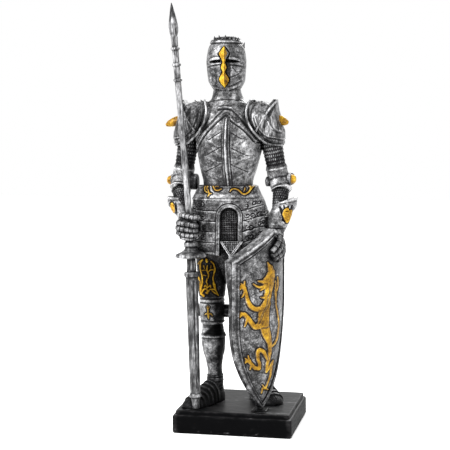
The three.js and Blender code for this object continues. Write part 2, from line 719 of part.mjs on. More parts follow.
// A lion rampant in tapering strokes on the shield's field: [across, height above the tip, half width]
const lionStrokes = {
  head: [[0, 98, 3.6], [-2.4, 93, 5], [-9.4, 91, 1.4]],
  crest: [[-2, 96, 3], [-3.4, 104, 0.6]],
  jaw: [[-3, 88.6, 3.6], [-13.2, 89, 0.6]],
  trunk: [[0, 95, 4.4], [-1.8, 89, 4.4], [-2.9, 79.5, 2.9], [-6, 70, 4.6], [-4.2, 59, 3.7], [2, 46.5, 2]],
  raisedArm: [[-6, 74, 2.6], [-12.4, 73, 1.6], [-16, 76, 1.6], [-19.6, 87.5, 1.2]],
  loweredArm: [[-6, 64, 3], [-11.4, 61, 1.8], [-19.4, 70, 1.4]],
  raisedThigh: [[0.6, 36.6, 1.5], [-4, 41.6, 1.7], [-9.2, 41.4, 1.5], [-7.4, 31.6, 1.5], [-13.4, 36, 1.2]],
  standingThigh: [[2.4, 46, 2], [0.8, 28.4, 1.4], [6.6, 29, 1], [2.2, 14.6, 0.9]],
  tail: [[5.6, 46, 1], [12, 52, 0.9], [7, 74, 0.9], [9.6, 92, 1]],
};
// Where each paw is, and which way it spreads: [across, height, direction in degrees]
const lionPaws = [[-19.6, 87.5, 125], [-19.4, 70, 160], [-13.4, 36, 140], [2.2, 14.6, 250]];

function lionStroke(stations) {
  const steps = stations.length - 1;
  const curve = new THREE.CatmullRomCurve3(stations.map((station) => new THREE.Vector3(...station)));
  return loft(Array.from({ length: steps + 1 }, (_, i) => {
    const at = curve.getPoint(i / steps);
    const along = curve.getTangent(i / steps).setZ(0).normalize();
    return [[-1, 0], [1, 0], [1, 1], [-1, 1]].map(([side, deep]) => shieldPoint(
      at.x - side * along.y * at.z,
      at.y + side * along.x * at.z,
      shieldRimRise - lionRise + deep * (lionRise + 1),
    ));
  }));
}

function lion() {
  const paws = lionPaws.map(([across, height, direction]) => {
    const angle = THREE.MathUtils.degToRad(direction);
    return [[-0.7, 1.4], [3, 2.6]].map(([along, half]) => (
      [across + along * Math.cos(angle), height + along * Math.sin(angle), half]
    ));
  });
  return joined([...Object.values(lionStrokes), ...paws].map(lionStroke));
}

// Plinth, with the block that the shield's tip stands on
function tier(width, depth, low, high, edge) {
  const square = (inset) => [[1, 1], [-1, 1], [-1, -1], [1, -1]].flatMap(([sideX, sideY]) => {
    const [x, y] = [width / 2 - inset, depth / 2 - inset];
    const corner = [[sideX * x, sideY * (y - edge)], [sideX * (x - edge), sideY * y]];
    return sideX * sideY > 0 ? corner : corner.reverse();
  });
  const levels = [[low, edge * 0.6], [low + edge, 0], [high - edge, 0], [high, edge * 0.7]];
  return loft(levels.map(([z, inset]) => square(inset).map(([x, y]) => new THREE.Vector3(x, y, z))));
}

function plinth() {
  const tip = shieldPoint(0, 0, shieldThickness / 2);
  const block = new THREE.BoxGeometry(...blockSize, blockHeight + 1);
  block.translate(tip.x, tip.y, plinthTop + (blockHeight - 1) / 2);
  return joined([
    tier(plinthWidth, plinthDepth, 0, lowerTier, plinthEdge),
    tier(plinthWidth - 2 * ledge, plinthDepth - 2 * ledge, lowerTier - 2, plinthTop, plinthEdge * 0.7),
    solidOf(block),
  ]);
}

const statue = new THREE.Group();
statue.add(
  meshOf(plinth(), 'plinth', { color: 0x1e1c1e, roughness: 0.45, metalness: 0 }),
  meshOf(knight(), 'knight', { color: 0x8c8c8e, ...silver }),
  meshOf(lance(), 'lance', { color: 0x98989a, ...silver }),
  meshOf(shield(), 'shield', { color: 0x8a8a8c, ...silver }),
);

export default statue;
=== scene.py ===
import math
import bpy
import numpy as np
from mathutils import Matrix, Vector


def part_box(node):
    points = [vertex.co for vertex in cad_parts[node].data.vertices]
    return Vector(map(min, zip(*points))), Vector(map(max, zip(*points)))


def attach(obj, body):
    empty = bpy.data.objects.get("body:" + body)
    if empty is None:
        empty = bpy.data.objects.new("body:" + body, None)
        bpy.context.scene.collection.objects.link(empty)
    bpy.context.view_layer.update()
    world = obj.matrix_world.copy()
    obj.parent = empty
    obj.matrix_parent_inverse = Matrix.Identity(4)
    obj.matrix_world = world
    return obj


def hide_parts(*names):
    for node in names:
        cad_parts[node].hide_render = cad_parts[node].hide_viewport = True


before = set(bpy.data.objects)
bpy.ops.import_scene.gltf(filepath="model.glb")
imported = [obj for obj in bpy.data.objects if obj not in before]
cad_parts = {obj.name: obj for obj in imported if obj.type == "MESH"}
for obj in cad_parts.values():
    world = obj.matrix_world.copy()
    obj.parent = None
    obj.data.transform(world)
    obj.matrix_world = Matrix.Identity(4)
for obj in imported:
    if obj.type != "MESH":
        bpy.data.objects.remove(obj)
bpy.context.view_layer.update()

# The drawing: millimetres of the figure, x to its left, y to the back, z up from the top of the plinth
camera = {"far": 825.95, "round": 10.855, "height": 208.07, "down": 4.387, "aside": 0.840, "lens": 92.0}
drawing = {"crest": 264.0, "figureX": -10.0, "plinthTop": 16.2, "seed": 7}
lowKnight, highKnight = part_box("knight")
unit = (highKnight.z - lowKnight.z) / drawing["crest"]


def toMetres(points):
    return (np.asarray(points, float) + (drawing["figureX"], 0, 0)) * unit + (0, 0, lowKnight.z)


def fromPlinth(points):      # from millimetres over the plinth's middle to those of the figure
    return np.asarray(points, float) - (drawing["figureX"], 0, drawing["plinthTop"])


# Smooth curves through tables of numbers
def glide(table, at):
    table = np.asarray(table, float)
    t, values = table[:, 0], table[:, 1:]
    if t[0] > t[-1]:
        t, values = t[::-1], values[::-1]
    h = np.diff(t)[:, None]
    slope = np.diff(values, axis=0) / h
    lean = np.zeros_like(values)
    before, after = slope[:-1], slope[1:]
    weightA, weightB = 2 * h[1:] + h[:-1], h[1:] + 2 * h[:-1]
    same = before * after > 0
    safeBefore, safeAfter = np.where(same, before, 1), np.where(same, after, 1)
    mean = (weightA + weightB) / (weightA / safeBefore + weightB / safeAfter)
    lean[1:-1] = np.where(same, mean, 0)
    lean[0], lean[-1] = slope[0], slope[-1]
    at = np.clip(at, t[0], t[-1])
    i = np.clip(np.searchsorted(t, at, side="right") - 1, 0, len(t) - 2)
    s = ((at - t[i]) / h[i, 0])[:, None]
    return ((1 + 2 * s) * (1 - s) ** 2 * values[i] + s * (1 - s) ** 2 * h[i] * lean[i]
            + s * s * (3 - 2 * s) * values[i + 1] + s * s * (s - 1) * h[i] * lean[i + 1])


def ease(low, high, value):
    t = np.clip((value - low) / (high - low), 0, 1)
    return t * t * (3 - 2 * t)


def unitRows(v):
    return v / np.maximum(np.linalg.norm(v, axis=-1, keepdims=True), 1e-12)


# Seeded unevenness of a hand-painted casting
dice = np.random.default_rng(drawing["seed"])
latticeSize = 24
lattice = dice.random((latticeSize, latticeSize, latticeSize))


def noise(points, size, octaves=3):
    total, weight, strength = 0, 0, 1
    for octave in range(octaves):
        p = points / size * 2 ** octave + 31.7 * (octave + 1)
        cell = np.floor(p).astype(int)
        f = p - cell
        f = f * f * (3 - 2 * f)
        value = 0
        for corner in range(8):
            step = np.array([corner & 1, corner >> 1 & 1, corner >> 2 & 1])
            at = (cell + step) % latticeSize
            share = np.prod(np.where(step, f, 1 - f), axis=-1)
            value = value + share * lattice[at[..., 0], at[..., 1], at[..., 2]]
        total, weight = total + strength * value, weight + strength
        strength *= 0.5
    return total / weight - 0.5


# Lines and spots drawn on a pair of coordinates
def alongLine(a, b, line):
    line = np.asarray(line, float)
    best = np.full(a.shape, 1e9)
    place = np.zeros(a.shape)
    run = 0.0
    for p, q in zip(line[:-1], line[1:]):
        d = q[:2] - p[:2]
        length = max(np.hypot(*d), 1e-9)
        s = np.clip(((a - p[0]) * d[0] + (b - p[1]) * d[1]) / length ** 2, 0, 1)
        gap = np.hypot(a - p[0] - s * d[0], b - p[1] - s * d[1])
        if len(p) > 2:
            gap = gap - (p[2] + s * (q[2] - p[2]))
        nearer = gap < best
        best = np.where(nearer, gap, best)
        place = np.where(nearer, run + s * length, place)
        run += length
    return best, place


def ridge(gap, half):        # 1 on the line, 0 at half from it
    return 1 - ease(0, half, np.abs(gap))


def smoothLine(points, steps=6):
    points = np.asarray(points, float)
    knots = np.arange(len(points))
    table = np.column_stack([knots, points])
    return glide(table, np.linspace(0, len(points) - 1, steps * (len(points) - 1) + 1))


# Surfaces: rows x columns of points, closed across the columns
def ringRows(centre, across, deep, half, power, angles):
    c, s = np.cos(angles), np.sin(angles)
    reach = (np.abs(c) ** power + np.abs(s) ** power) ** (-1 / power)
    return (centre[:, None] + across[:, None] * (half[:, :1] * c * reach)[..., None]
            + deep[:, None] * (half[:, 1:2] * s * reach)[..., None])


def roundAngles(columns, bunch=0.45):      # seam at the back, columns closer together in front
    u = np.arange(columns) / columns
    return math.pi / 2 + 2 * math.pi * u + bunch * np.sin(2 * math.pi * u)


def stack(levels, rows, columns, power=2.0, bunch=0.45):
    table = np.array([list(level) + [0] * (6 - len(level)) for level in levels], float)
    values = glide(table, rows)
    turn = np.radians(values[:, 4])
    flat = np.zeros(len(rows))
    across = np.column_stack([np.cos(turn), np.sin(turn), flat])
    deep = np.column_stack([-np.sin(turn), np.cos(turn), flat])
    centre = np.column_stack([values[:, 0], values[:, 1], rows])
    return ringRows(centre, across, deep, values[:, 2:4], power, roundAngles(columns, bunch))


def limb(stations, steps, columns, power=2.0, bunch=0.35):
    table = np.array([list(station) + [0] * (6 - len(station)) for station in stations], float)
    length = np.concatenate([[0], np.cumsum(np.linalg.norm(np.diff(table[:, :3], axis=0), axis=1))])
    at = np.linspace(0, length[-1], steps)
    values = glide(np.column_stack([length, table]), at)
    axis = values[:, :3]
    along = unitRows(np.gradient(axis, axis=0))
    across = np.cross((0.0, 1.0, 0.0), along)
    weak = np.linalg.norm(across, axis=1) < 0.3
    across[weak] = (1.0, 0.0, 0.0)
    across = unitRows(across)
    deep = np.cross(along, across)
    across[:, 2] += np.sign(across[:, 0]) * values[:, 5] / values[:, 3]
    points = ringRows(axis, across, deep, values[:, 3:5], power, roundAngles(columns, bunch))
    return points, at / length[-1]


def rod(path, radii, steps=60, columns=14, flat=1.0, aim=(0, 0, 1)):
    path = np.array(path, float)
    length = np.concatenate([[0], np.cumsum(np.linalg.norm(np.diff(path, axis=0), axis=1))])
    radii = np.array(radii, float) * np.ones(len(path)) if np.ndim(radii) < 2 else np.array(radii, float)
    at = np.linspace(0, length[-1], steps)
    axis = glide(np.column_stack([length, path]), at)
    if radii.ndim == 1:
        radius = glide(np.column_stack([length, radii]), at)[:, 0]
    else:
        radius = np.interp(at / length[-1], radii[:, 0], radii[:, 1])
    along = unitRows(np.gradient(axis, axis=0))
    side = np.cross(along, aim)
    weak = np.linalg.norm(side, axis=1) < 0.2
    side[weak] = np.cross(along[weak], (1.0, 0.3, 0.0))
    side = unitRows(side)
    up = np.cross(side, along)
    half = np.column_stack([radius, radius * flat])
    return ringRows(axis, side, up, half, 2.0, roundAngles(columns, 0)), at / length[-1], length[-1]


def outward(points, closed=True):
    down = np.gradient(points, axis=0)
    if closed:
        around = np.roll(points, -1, 1) - np.roll(points, 1, 1)
    else:
        around = np.gradient(points, axis=1)
    normal = unitRows(np.cross(around, down))
    middle = points.mean(axis=1, keepdims=True)
    return normal if ((points - middle) * normal).sum() > 0 else -normal


def soften(values, times, axis, closed):
    for _ in range(times):
        if closed and axis == 1:
            values = (np.roll(values, 1, 1) + np.roll(values, -1, 1) + 2 * values) / 4
        else:
            wide = np.concatenate([values.take([0], axis), values, values.take([-1], axis)], axis)
            n = values.shape[axis]
            values = (wide.take(range(n), axis) + wide.take(range(2, n + 2), axis) + 2 * values) / 4
    return values


def standOut(points, closed=True, size=0.8):     # how far each point stands out of its surroundings
    soft = points
    for axis in (0, 1):
        spacing = np.linalg.norm(np.diff(points, axis=axis), axis=2).mean()
        times = int(np.clip(2 * (size / spacing) ** 2, 1, 60))
        soft = soften(soft, times, axis, closed)
    return ((points - soft) * outward(points, closed)).sum(axis=2)


def spacedOut(points, grain):       # rows and columns to keep, a grain apart, two grains at the back
    facing = outward(points)[..., 1].mean(axis=0)
    kept = []
    for axis, share in ((0, 1), (1, np.where(facing > 0.35, 0.5, 1)[1:])):
        gaps = np.linalg.norm(np.diff(points, axis=axis), axis=2).max(axis=1 - axis)
        reach = np.append(0, np.cumsum(share * gaps))
        count = min(len(reach), max(9, round(reach[-1] / grain)))
        kept.append(np.unique(np.searchsorted(reach, np.linspace(0, reach[-1], count) - 1e-9)))
    return kept


# A skin: points, faces and the paint on it
raisedReach = (-0.4, 0.17)      # how deep and how high the paint still tells points apart


class Skin:
    def __init__(self, points, closed=True, ends=(True, True), gilt=0.0, bare=0.0, size=0.8, wash=0.0,
                 grain=0.5):
        fill = np.ones(points.shape[:2])
        # raised: how far a point stands out, plus the wash, which also holds painted highlights and painted
        # shade
        raised = np.clip(standOut(points, closed, size), *raisedReach) + wash
        paint = [raised * fill, gilt * fill, bare * fill]
        if closed and all(ends):
            down, around = spacedOut(points, grain)
            points = points[down][:, around]
            paint = [values[down][:, around] for values in paint]
        rows, columns = points.shape[:2]
        self.paint = [values.ravel() for values in paint]
        number = np.arange(rows * columns).reshape(rows, columns)
        if closed:
            number = np.concatenate([number, number[:, :1]], axis=1)
        a, b, c, d = number[:-1, :-1], number[:-1, 1:], number[1:, 1:], number[1:, :-1]
        self.quads = np.stack([a, b, c, d], axis=-1).reshape(-1, 4)
        self.points = points.reshape(-1, 3)
        tris = []
        for end, row in zip(ends, (0, rows - 1)):
            if end and closed:
                hub = len(self.points)
                self.points = np.vstack([self.points, points[row].mean(axis=0)])
                self.paint = [np.append(p, p[row * columns:(row + 1) * columns].mean()) for p in self.paint]
                ring = number[row]
                fan = np.column_stack([ring[1:], ring[:-1], np.full(columns, hub)])
                tris.append(fan if row == 0 else fan[:, [1, 0, 2]])
        self.tris = np.vstack(tris) if tris else np.zeros((0, 3), int)
        if self.volume() < 0:
            self.quads, self.tris = self.quads[:, ::-1], self.tris[:, ::-1]

    def volume(self):
        p = self.points - self.points.mean(axis=0)
        both = np.vstack([self.quads[:, :3], self.quads[:, [0, 2, 3]], self.tris])
        return (p[both[:, 0]] * np.cross(p[both[:, 1]], p[both[:, 2]])).sum()


def relief(points, lift, **paint):      # a skin lifted out of its plain form
    return Skin(points + outward(points) * lift[..., None], **paint)


def makePiece(name, skins, material, node):
    start, points, quads, tris, paint = 0, [], [], [], []
    for skin in skins:
        points.append(skin.points)
        quads.append(skin.quads + start)
        tris.append(skin.tris + start)
        paint.append(np.stack(skin.paint, axis=1))
        start += len(skin.points)
    points, quads, tris = toMetres(np.vstack(points)), np.vstack(quads), np.vstack(tris)
    mesh = bpy.data.meshes.new(name)
    mesh.vertices.add(len(points))
    mesh.vertices.foreach_set("co", points.ravel())
    corners = np.concatenate([quads.ravel(), tris.ravel()]).astype(np.int32)
    starts = np.concatenate([np.arange(len(quads)) * 4, len(quads) * 4 + np.arange(len(tris)) * 3])
    mesh.loops.add(len(corners))
    mesh.loops.foreach_set("vertex_index", corners)
    mesh.polygons.add(len(starts))
    mesh.polygons.foreach_set("loop_start", starts.astype(np.int32))
    mesh.update(calc_edges=True)
    mesh.validate()
    mesh.shade_smooth()
    paint = np.vstack(paint)
    # the black attribute holds the black undercoat where it shows and also painted shade
    for column, word in enumerate(("raised", "gilt", "bare")):
        layer = mesh.attributes.new(word, "FLOAT", "POINT")
        layer.data.foreach_set("value", np.ascontiguousarray(paint[:, column], dtype=np.float32))
    mesh.materials.append(material)
    piece = bpy.data.objects.new(name, mesh)
    bpy.context.scene.collection.objects.link(piece)
    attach(piece, "root")
    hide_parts(node)
    print("made", name, len(quads) * 2 + len(tris), "triangles")
    return piece


frontView = {"middle": 225.0, "reach": 1150.0}


def onDrawing(points):      # where a point falls on the grid of the front view
    s, view = camera, frontView
    place = math.radians(s["round"])
    eye = np.array([math.sin(place) * s["far"], -math.cos(place) * s["far"], s["height"]])
    turn, down = math.radians(s["round"] + s["aside"]), math.radians(s["down"])
    ahead = np.array([-math.sin(turn) * math.cos(down), math.cos(turn) * math.cos(down), -math.sin(down)])
    right = np.array([math.cos(turn), math.sin(turn), 0])
    gap = points + (drawing["figureX"], 0, drawing["plinthTop"]) - eye
    depth = gap @ ahead
    return (view["middle"] + view["reach"] * (gap @ right) / depth,
            view["middle"] - view["reach"] * (gap @ np.cross(right, ahead)) / depth)


def strokeGap(a, h, strokes):
    gap = np.full(a.shape, 9.0)
    for stroke in strokes.values():
        gap = np.minimum(gap, alongLine(a, h, smoothLine(stroke, 5))[0])
    return gap


# Finishes
def newFinish(name):
    material = bpy.data.materials.new(name)
    material.use_nodes = True
    tree = material.node_tree
    shader = tree.nodes["Principled BSDF"]
    return material, tree, shader


def node(tree, kind, inputs=None, **settings):
    made = tree.nodes.new(kind)
    for key, value in settings.items():
        setattr(made, key, value)
    for key, value in (inputs or {}).items():
        socket = made.inputs[key]
        if isinstance(value, bpy.types.NodeSocket):
            tree.links.new(value, socket)
        else:
            socket.default_value = value
    return made


def sums(tree, operation, a, b, clamp=False):
    return node(tree, "ShaderNodeMath", {0: a, 1: b}, operation=operation, use_clamp=clamp).outputs[0]


def scaled(tree, value, times, plus, clamp=False):
    return sums(tree, "ADD", sums(tree, "MULTIPLY", value, times), plus, clamp)


def fromMiddle(tree, value, times):      # unevenness that swings about zero
    return sums(tree, "MULTIPLY", sums(tree, "SUBTRACT", value, 0.5), times)


def unevenness(tree, vector, scale, detail, roughness):
    inputs = {"Vector": vector, "Scale": scale, "Detail": detail, "Roughness": roughness}
    return node(tree, "ShaderNodeTexNoise", inputs).outputs["Fac"]


def paintOn(tree, word):
    return node(tree, "ShaderNodeAttribute", attribute_name=word).outputs["Fac"]


def roughen(tree, shader, height, strength, distance):
    bump = node(tree, "ShaderNodeBump", {"Strength": strength, "Distance": distance, "Height": height})
    tree.links.new(bump.outputs[0], shader.inputs["Normal"])


def ramp(tree, factor, stops):
    made = node(tree, "ShaderNodeValToRGB", {"Fac": factor})
    band = made.color_ramp
    while len(band.elements) < len(stops):
        band.elements.new(0.5)
    for element, (place, colour) in zip(band.elements, stops):
        element.position = place
        element.color = (*colour, 1)
    return made.outputs[0]


def blendColours(tree, factor, a, b, kind="MIX"):
    made = node(tree, "ShaderNodeMix", data_type="RGBA", blend_type=kind)
    for socket, value in ((made.inputs[0], factor), (made.inputs[6], a), (made.inputs[7], b)):
        if isinstance(value, bpy.types.NodeSocket):
            tree.links.new(value, socket)
        elif isinstance(value, tuple):
            socket.default_value = (*value, 1)
        else:
            socket.default_value = value
    return made.outputs[2]


paintwork = {
    "silver": [(0.0, (0.002, 0.002, 0.0025)), (0.25, (0.007, 0.007, 0.0075)), (0.42, (0.035, 0.035, 0.036)),
               (0.58, (0.10, 0.10, 0.102)), (0.78, (0.24, 0.24, 0.245)), (1.0, (0.50, 0.50, 0.51))],
    "gold": [(0.0, (0.014, 0.006, 0.001)), (0.3, (0.075, 0.034, 0.003)), (0.6, (0.23, 0.118, 0.006)),
             (0.85, (0.37, 0.205, 0.011)), (1.0, (0.54, 0.36, 0.03))],
    "black": [(0.0, (0.002, 0.002, 0.002)), (0.55, (0.006, 0.006, 0.0065)), (0.8, (0.03, 0.03, 0.031)),
              (1.0, (0.16, 0.16, 0.165))],
    "contrast": 1.45,
    "mottle": 1.25,
    "speck": 1.1,
    "creviceShade": 3.4,
    "clouds": (95, 3, 0.5),
    "patches": (330, 5, 0.6),
    "grains": (1500, 3, 0.65),
}


def castingFinish(name, streak=(1, 1, 1), base=0.455):
    material, tree, shader = newFinish(name)
    s = paintwork
    place = node(tree, "ShaderNodeTexCoord").outputs["Object"]
    drawn = node(tree, "ShaderNodeMapping", {"Vector": place, "Scale": streak}).outputs[0]
    raised, gilt, bare = (paintOn(tree, word) for word in ("raised", "gilt", "bare"))
    clouds = unevenness(tree, place, *s["clouds"])
    patches = unevenness(tree, drawn, *s["patches"])
    grains = unevenness(tree, drawn, *s["grains"])
    # painted shade: ambient occlusion darkens the colour in crevices and where parts meet, over the black
    # left in the hollows
    creviceShade = node(tree, "ShaderNodeAmbientOcclusion", {"Distance": s["creviceShade"] * unit}, samples=6)
    mottle = fromMiddle(tree, patches, s["mottle"])
    cloud = fromMiddle(tree, clouds, s["mottle"] * 0.7)
    speck = fromMiddle(tree, grains, s["speck"])
    level = scaled(tree, raised, s["contrast"], base)
    level = sums(tree, "ADD", level, sums(tree, "ADD", sums(tree, "ADD", mottle, cloud), speck))
    shade = sums(tree, "POWER", creviceShade.outputs["AO"], 1.6)
    level = sums(tree, "MULTIPLY", level, scaled(tree, shade, 0.8, 0.2))
    level = sums(tree, "ADD", level, 0.0, True)
    silver = ramp(tree, level, s["silver"])
    black = ramp(tree, level, s["black"])
    gold = ramp(tree, sums(tree, "ADD", level, 0.1, True), s["gold"])
    # black where the undercoat shows and where shade is painted
    colour = blendColours(tree, bare, silver, black)
    colour = blendColours(tree, gilt, colour, gold)
    tree.links.new(colour, shader.inputs["Base Color"])
    dulled = scaled(tree, gilt, 0.6, bare)
    bright = sums(tree, "SUBTRACT", 1.0, dulled, True)
    shine = sums(tree, "MULTIPLY", scaled(tree, bright, 0.9, 0.1), shade)
    for socket in ("Metallic", "Specular IOR Level"):
        tree.links.new(sums(tree, "MULTIPLY", shine, 0.3), shader.inputs[socket])
    tree.links.new(scaled(tree, patches, 0.3, 0.26), shader.inputs["Roughness"])
    roughen(tree, shader, grains, 0.35, 0.00025)
    return material


antiqueSilver = castingFinish("antique silver over black")
streakedSilver = castingFinish("brushed silver over black", streak=(1, 1, 0.16), base=0.43)


def plinthFinish():
    material, tree, shader = newFinish("satin black resin")
    place = node(tree, "ShaderNodeTexCoord").outputs["Object"]
    along = node(tree, "ShaderNodeMapping", {"Vector": place, "Scale": (0.25, 0.25, 2.2)}).outputs[0]
    strokes = unevenness(tree, along, 420, 4, 0.6)
    clouds = unevenness(tree, place, 130, 4, 0.6)
    level = scaled(tree, paintOn(tree, "raised"), 1.1, sums(tree, "MULTIPLY", clouds, 0.5))
    level = scaled(tree, strokes, 0.35, level, True)
    colour = ramp(tree, level, [(0.0, (0.001, 0.001, 0.0012)), (0.5, (0.002, 0.002, 0.0022)),
                                (0.7, (0.012, 0.0115, 0.012)), (1.0, (0.3, 0.3, 0.31))])
    tree.links.new(colour, shader.inputs["Base Color"])
    tree.links.new(scaled(tree, strokes, 0.35, 0.22), shader.inputs["Roughness"])
    facing = node(tree, "ShaderNodeSeparateXYZ", {0: node(tree, "ShaderNodeNewGeometry").outputs["Normal"]})
    sheen = sums(tree, "MULTIPLY", sums(tree, "POWER", facing.outputs["Z"], 3, True), strokes)
    tree.links.new(scaled(tree, sheen, 0.16, 0.01), shader.inputs["Specular IOR Level"])
    roughen(tree, shader, strokes, 0.3, 0.0003)
    return material


blackResin = plinthFinish()

# Helm with its lozenge ridge, slits, brow and the ragged fringe round its crown
helm = {
    "levels": [(224.5, -0.9, 0, 8.8, 9.2, 3), (227.4, -1, 0, 10.8, 12.9, 3), (232.6, -1.1, 0, 13.2, 15.4, 3),
               (240, -1.2, 0, 13.9, 16.1, 3), (245, -1.3, 0, 14.2, 16.4, 3), (252, -1.3, 0, 13.4, 15.4, 3),
               (256, -1.3, 0, 12.3, 14.0, 3), (257.9, -1.3, 0, 11.4, 12.9, 3),
               (258.3, -1.3, 0, 11.8, 13.4, 3),
               (259.0, -1.3, 0, 11.6, 13.2, 3), (260.4, -1.3, 0, 10.6, 12.2, 3)],
    "ridgeX": 0.05,
    "ridge": [(254.8, 0.1), (254.2, 0.7), (252, 2.1), (250, 3.4), (247.4, 2.2), (245.2, 1.2),
              (243.8, 0.85), (242, 1.45), (240.4, 1.8), (238.6, 1.3), (237.4, 0.8), (236.2, 1.2),
              (234, 2.5), (232.2, 3.3), (229.4, 2.2), (228.2, 1.2), (227.2, 0.3), (226.9, 0.05)],
    "ridgeHeight": 2.3,
    "channel": [(225, 3.6), (232, 4.7), (238, 5.0), (243.5, 5.0), (247, 3.8), (251, 3.9), (254.6, 1.6)],
    "slits": [(-11.3, -2.2), (1.5, 10.3)],
    "slitHeight": 244.9,
    "slitHalf": 0.95,
    "slitDepth": 2.6,
    "rim": [(-9, 227.4), (-4, 225.6), (0.3, 224.7), (5.2, 226.4), (9.4, 228.6), (12.4, 231.4)],
    "arcs": [[(3.6, 233.2), (7, 234.4), (11.2, 237.6)], [(2.9, 226.9), (6.3, 228.2), (10.6, 231.4)],
             [(6.0, 240.2), (8.6, 237.4), (11.5, 238.6)],
             [(-11, 240.5), (-7.4, 238.2), (-5.2, 233.4), (-6.4, 229)]],
    "crown": [(259.6, -0.9, 0, 10.0, 11.2), (260.6, -0.7, 0, 9.8, 11), (261.7, -0.4, 0, 9.0, 10.2),
              (262.4, -0.1, 0, 7.2, 8.4), (262.8, 0.2, 0, 4.4, 5)],
    "tufts": [(-9.2, -2.6, 1.6), (-8.2, -6.0, 2.6), (-6.2, -8.2, 1.6), (-4.4, -9.4, 3.0),
              (-1.6, -10.4, 1.4), (0.2, -10.6, 2.9), (3.2, -10.2, 1.5), (5.6, -9.2, 2.0),
              (8.4, -6.2, 1.3), (-6.0, 7.6, 2.2), (0.6, 10.2, 1.8), (6.6, 7.8, 2.2)],
}


def makeHelm():
    s = helm
    rows = np.linspace(224.5, 260.4, 160)
    shell = stack(s["levels"], rows, 300, bunch=0.55)
    normal = outward(shell)
    x, z = shell[..., 0], shell[..., 2]
    front = ease(0.15, 0.5, -normal[..., 1])
    profile = np.array(s["ridge"])[::-1]
    half = glide(profile, z.ravel()).reshape(z.shape) * ((z > 225.6) & (z < 254.8))
    part = 1 - np.abs(x - s["ridgeX"]) / np.maximum(half, 0.05)
    inside = ((part > 0) & (half > 0.05)) * front
    tall = 0.5 + np.clip(part, 0, 1) * s["ridgeHeight"] * (0.45 + 0.55 * half / 3.3)
    lift = np.where(inside > 0, front * tall, 0)
    beyond = np.abs(x - s["ridgeX"]) - half
    span = ease(225, 227, z) * (1 - ease(254.5, 255.5, z))
    trench = ridge(beyond - 0.35, 0.9) * front * span * (1 - inside)
    lift -= 0.5 * trench
    bare = 0.85 * trench
    # deep shadowed channel on the ridge's left-hand side, down to the chin
    edge = np.interp(z, *np.array(s["channel"]).T)
    channel = ease(-0.4, 0.2, x - s["ridgeX"]) * (1 - ease(edge - 0.7, edge + 0.3, x))
    channel = channel * front * (1 - inside) * ease(225.5, 227.5, z) * (1 - ease(253.6, 255.2, z))
    lift -= 0.55 * channel
    bare = np.maximum(bare, 0.8 * channel)
    wash = 0.0 * x
    for left, far in s["slits"]:
        outer = left if left < 0 else far
        centre = s["slitHeight"] - 0.0045 * (x - s["ridgeX"]) ** 2
        tall = s["slitHalf"] * (0.35 + 0.65 * ease(0, 4.5, np.abs(x - outer)))
        span = ease(left - 0.2, left + 0.3, x) * (1 - ease(far - 0.3, far + 0.2, x)) * front
        cut = (1 - ease(tall - 0.25, tall + 0.2, np.abs(z - centre))) * span
        lift = lift * (1 - cut) - s["slitDepth"] * cut * (1 - inside)
        bare = np.maximum(bare, cut * (1 - inside))
        wide = ease(left - 0.5, left + 1.5, x) * (1 - ease(far - 1.5, far + 0.8, x)) * front * (1 - inside)
        above = z - centre - tall
        lift += 0.42 * ridge(above - 1.1, 1.4) * wide
        wash = wash + 0.1 * ridge(above - 1.0, 1.2) * wide
    band = front * (1 - inside) * (1 - channel)
    line = 242.5 - 0.006 * x ** 2
    lift += band * (0.3 * ridge(z - line - 0.7, 0.8) - 0.45 * ridge(z - line + 0.35, 0.7))
    for arc in s["arcs"]:
        lift -= 0.35 * ridge(alongLine(x, z, smoothLine(arc))[0], 0.6) * front
    rim = alongLine(x, z, smoothLine(s["rim"]))[0]
    lift += (0.3 + 0.5 * ease(-1, 3, x)) * ridge(rim, 0.85) * front
    overRim = alongLine(x, z, smoothLine(np.array(s["rim"]) + (0, 1.4)))[0]
    lift -= 0.5 * ridge(overRim, 0.7) * front * ease(0, 3, x)
    lift += (0.4 * noise(shell, 3.2) + 0.2 * noise(shell, 1.0, 2)) * (1 - inside)
    lift -= 0.5 * ridge(z - 257.6, 0.6)
    bare = np.maximum(bare, 0.55 * ease(259.0, 259.4, z))
    # painted shade: the gilt ridge is lighter, and its facets on the figure's left, away from the lamp, are
    # darker
    wash = wash + 0.1 * inside - 0.26 * inside * ease(0.15, 0.5, x - s["ridgeX"])
    wash -= 0.1 * ridge(np.hypot((x + 6) / 6, (z - 237) / 6), 1.2) * front * (1 - inside)
    gilt = inside * ((z < 246) | (x < s["ridgeX"] + 0.6 * half))
    skins = [relief(shell, lift, gilt=gilt, bare=bare, wash=wash)]
    crown = stack(s["crown"], 259.6 + 3.2 * np.linspace(0, 1, 40) ** 0.7, 170)
    strands = noise(crown * (1, 1, 0.12), 0.9, 2)
    crown = crown + outward(crown) * (0.9 * strands)[..., None] * (1, 1, 0.3)
    skins.append(Skin(crown, bare=0.45 - 0.9 * strands, wash=-0.05))
    for x, y, tall in s["tufts"]:
        skins.append(tuft((x, y, 260.4), tall))
    skins.append(tuft((10.8, 2.0, 256.0), 3.0, 0.7))
    return skins


def tuft(root, tall, wide=1.0):
    root = np.array(root, float)
    out = unitRows(np.array([root[0] + 1.3, root[1], 0.0]))
    top = min(tall, drawing["crest"] - 0.05 - root[2])
    path = [root - (0, 0, 1), root + out * 0.3 + (0, 0, 0.5 * top), root + out * 0.7 + (0, 0, top)]
    points = rod(path, (1.1 * wide, 0.75 * wide, 0.12), 16, 10, aim=tuple(out))[0]
    return Skin(points + 0.25 * noise(points, 0.8)[..., None] * (1, 1, 0), bare=0.7)


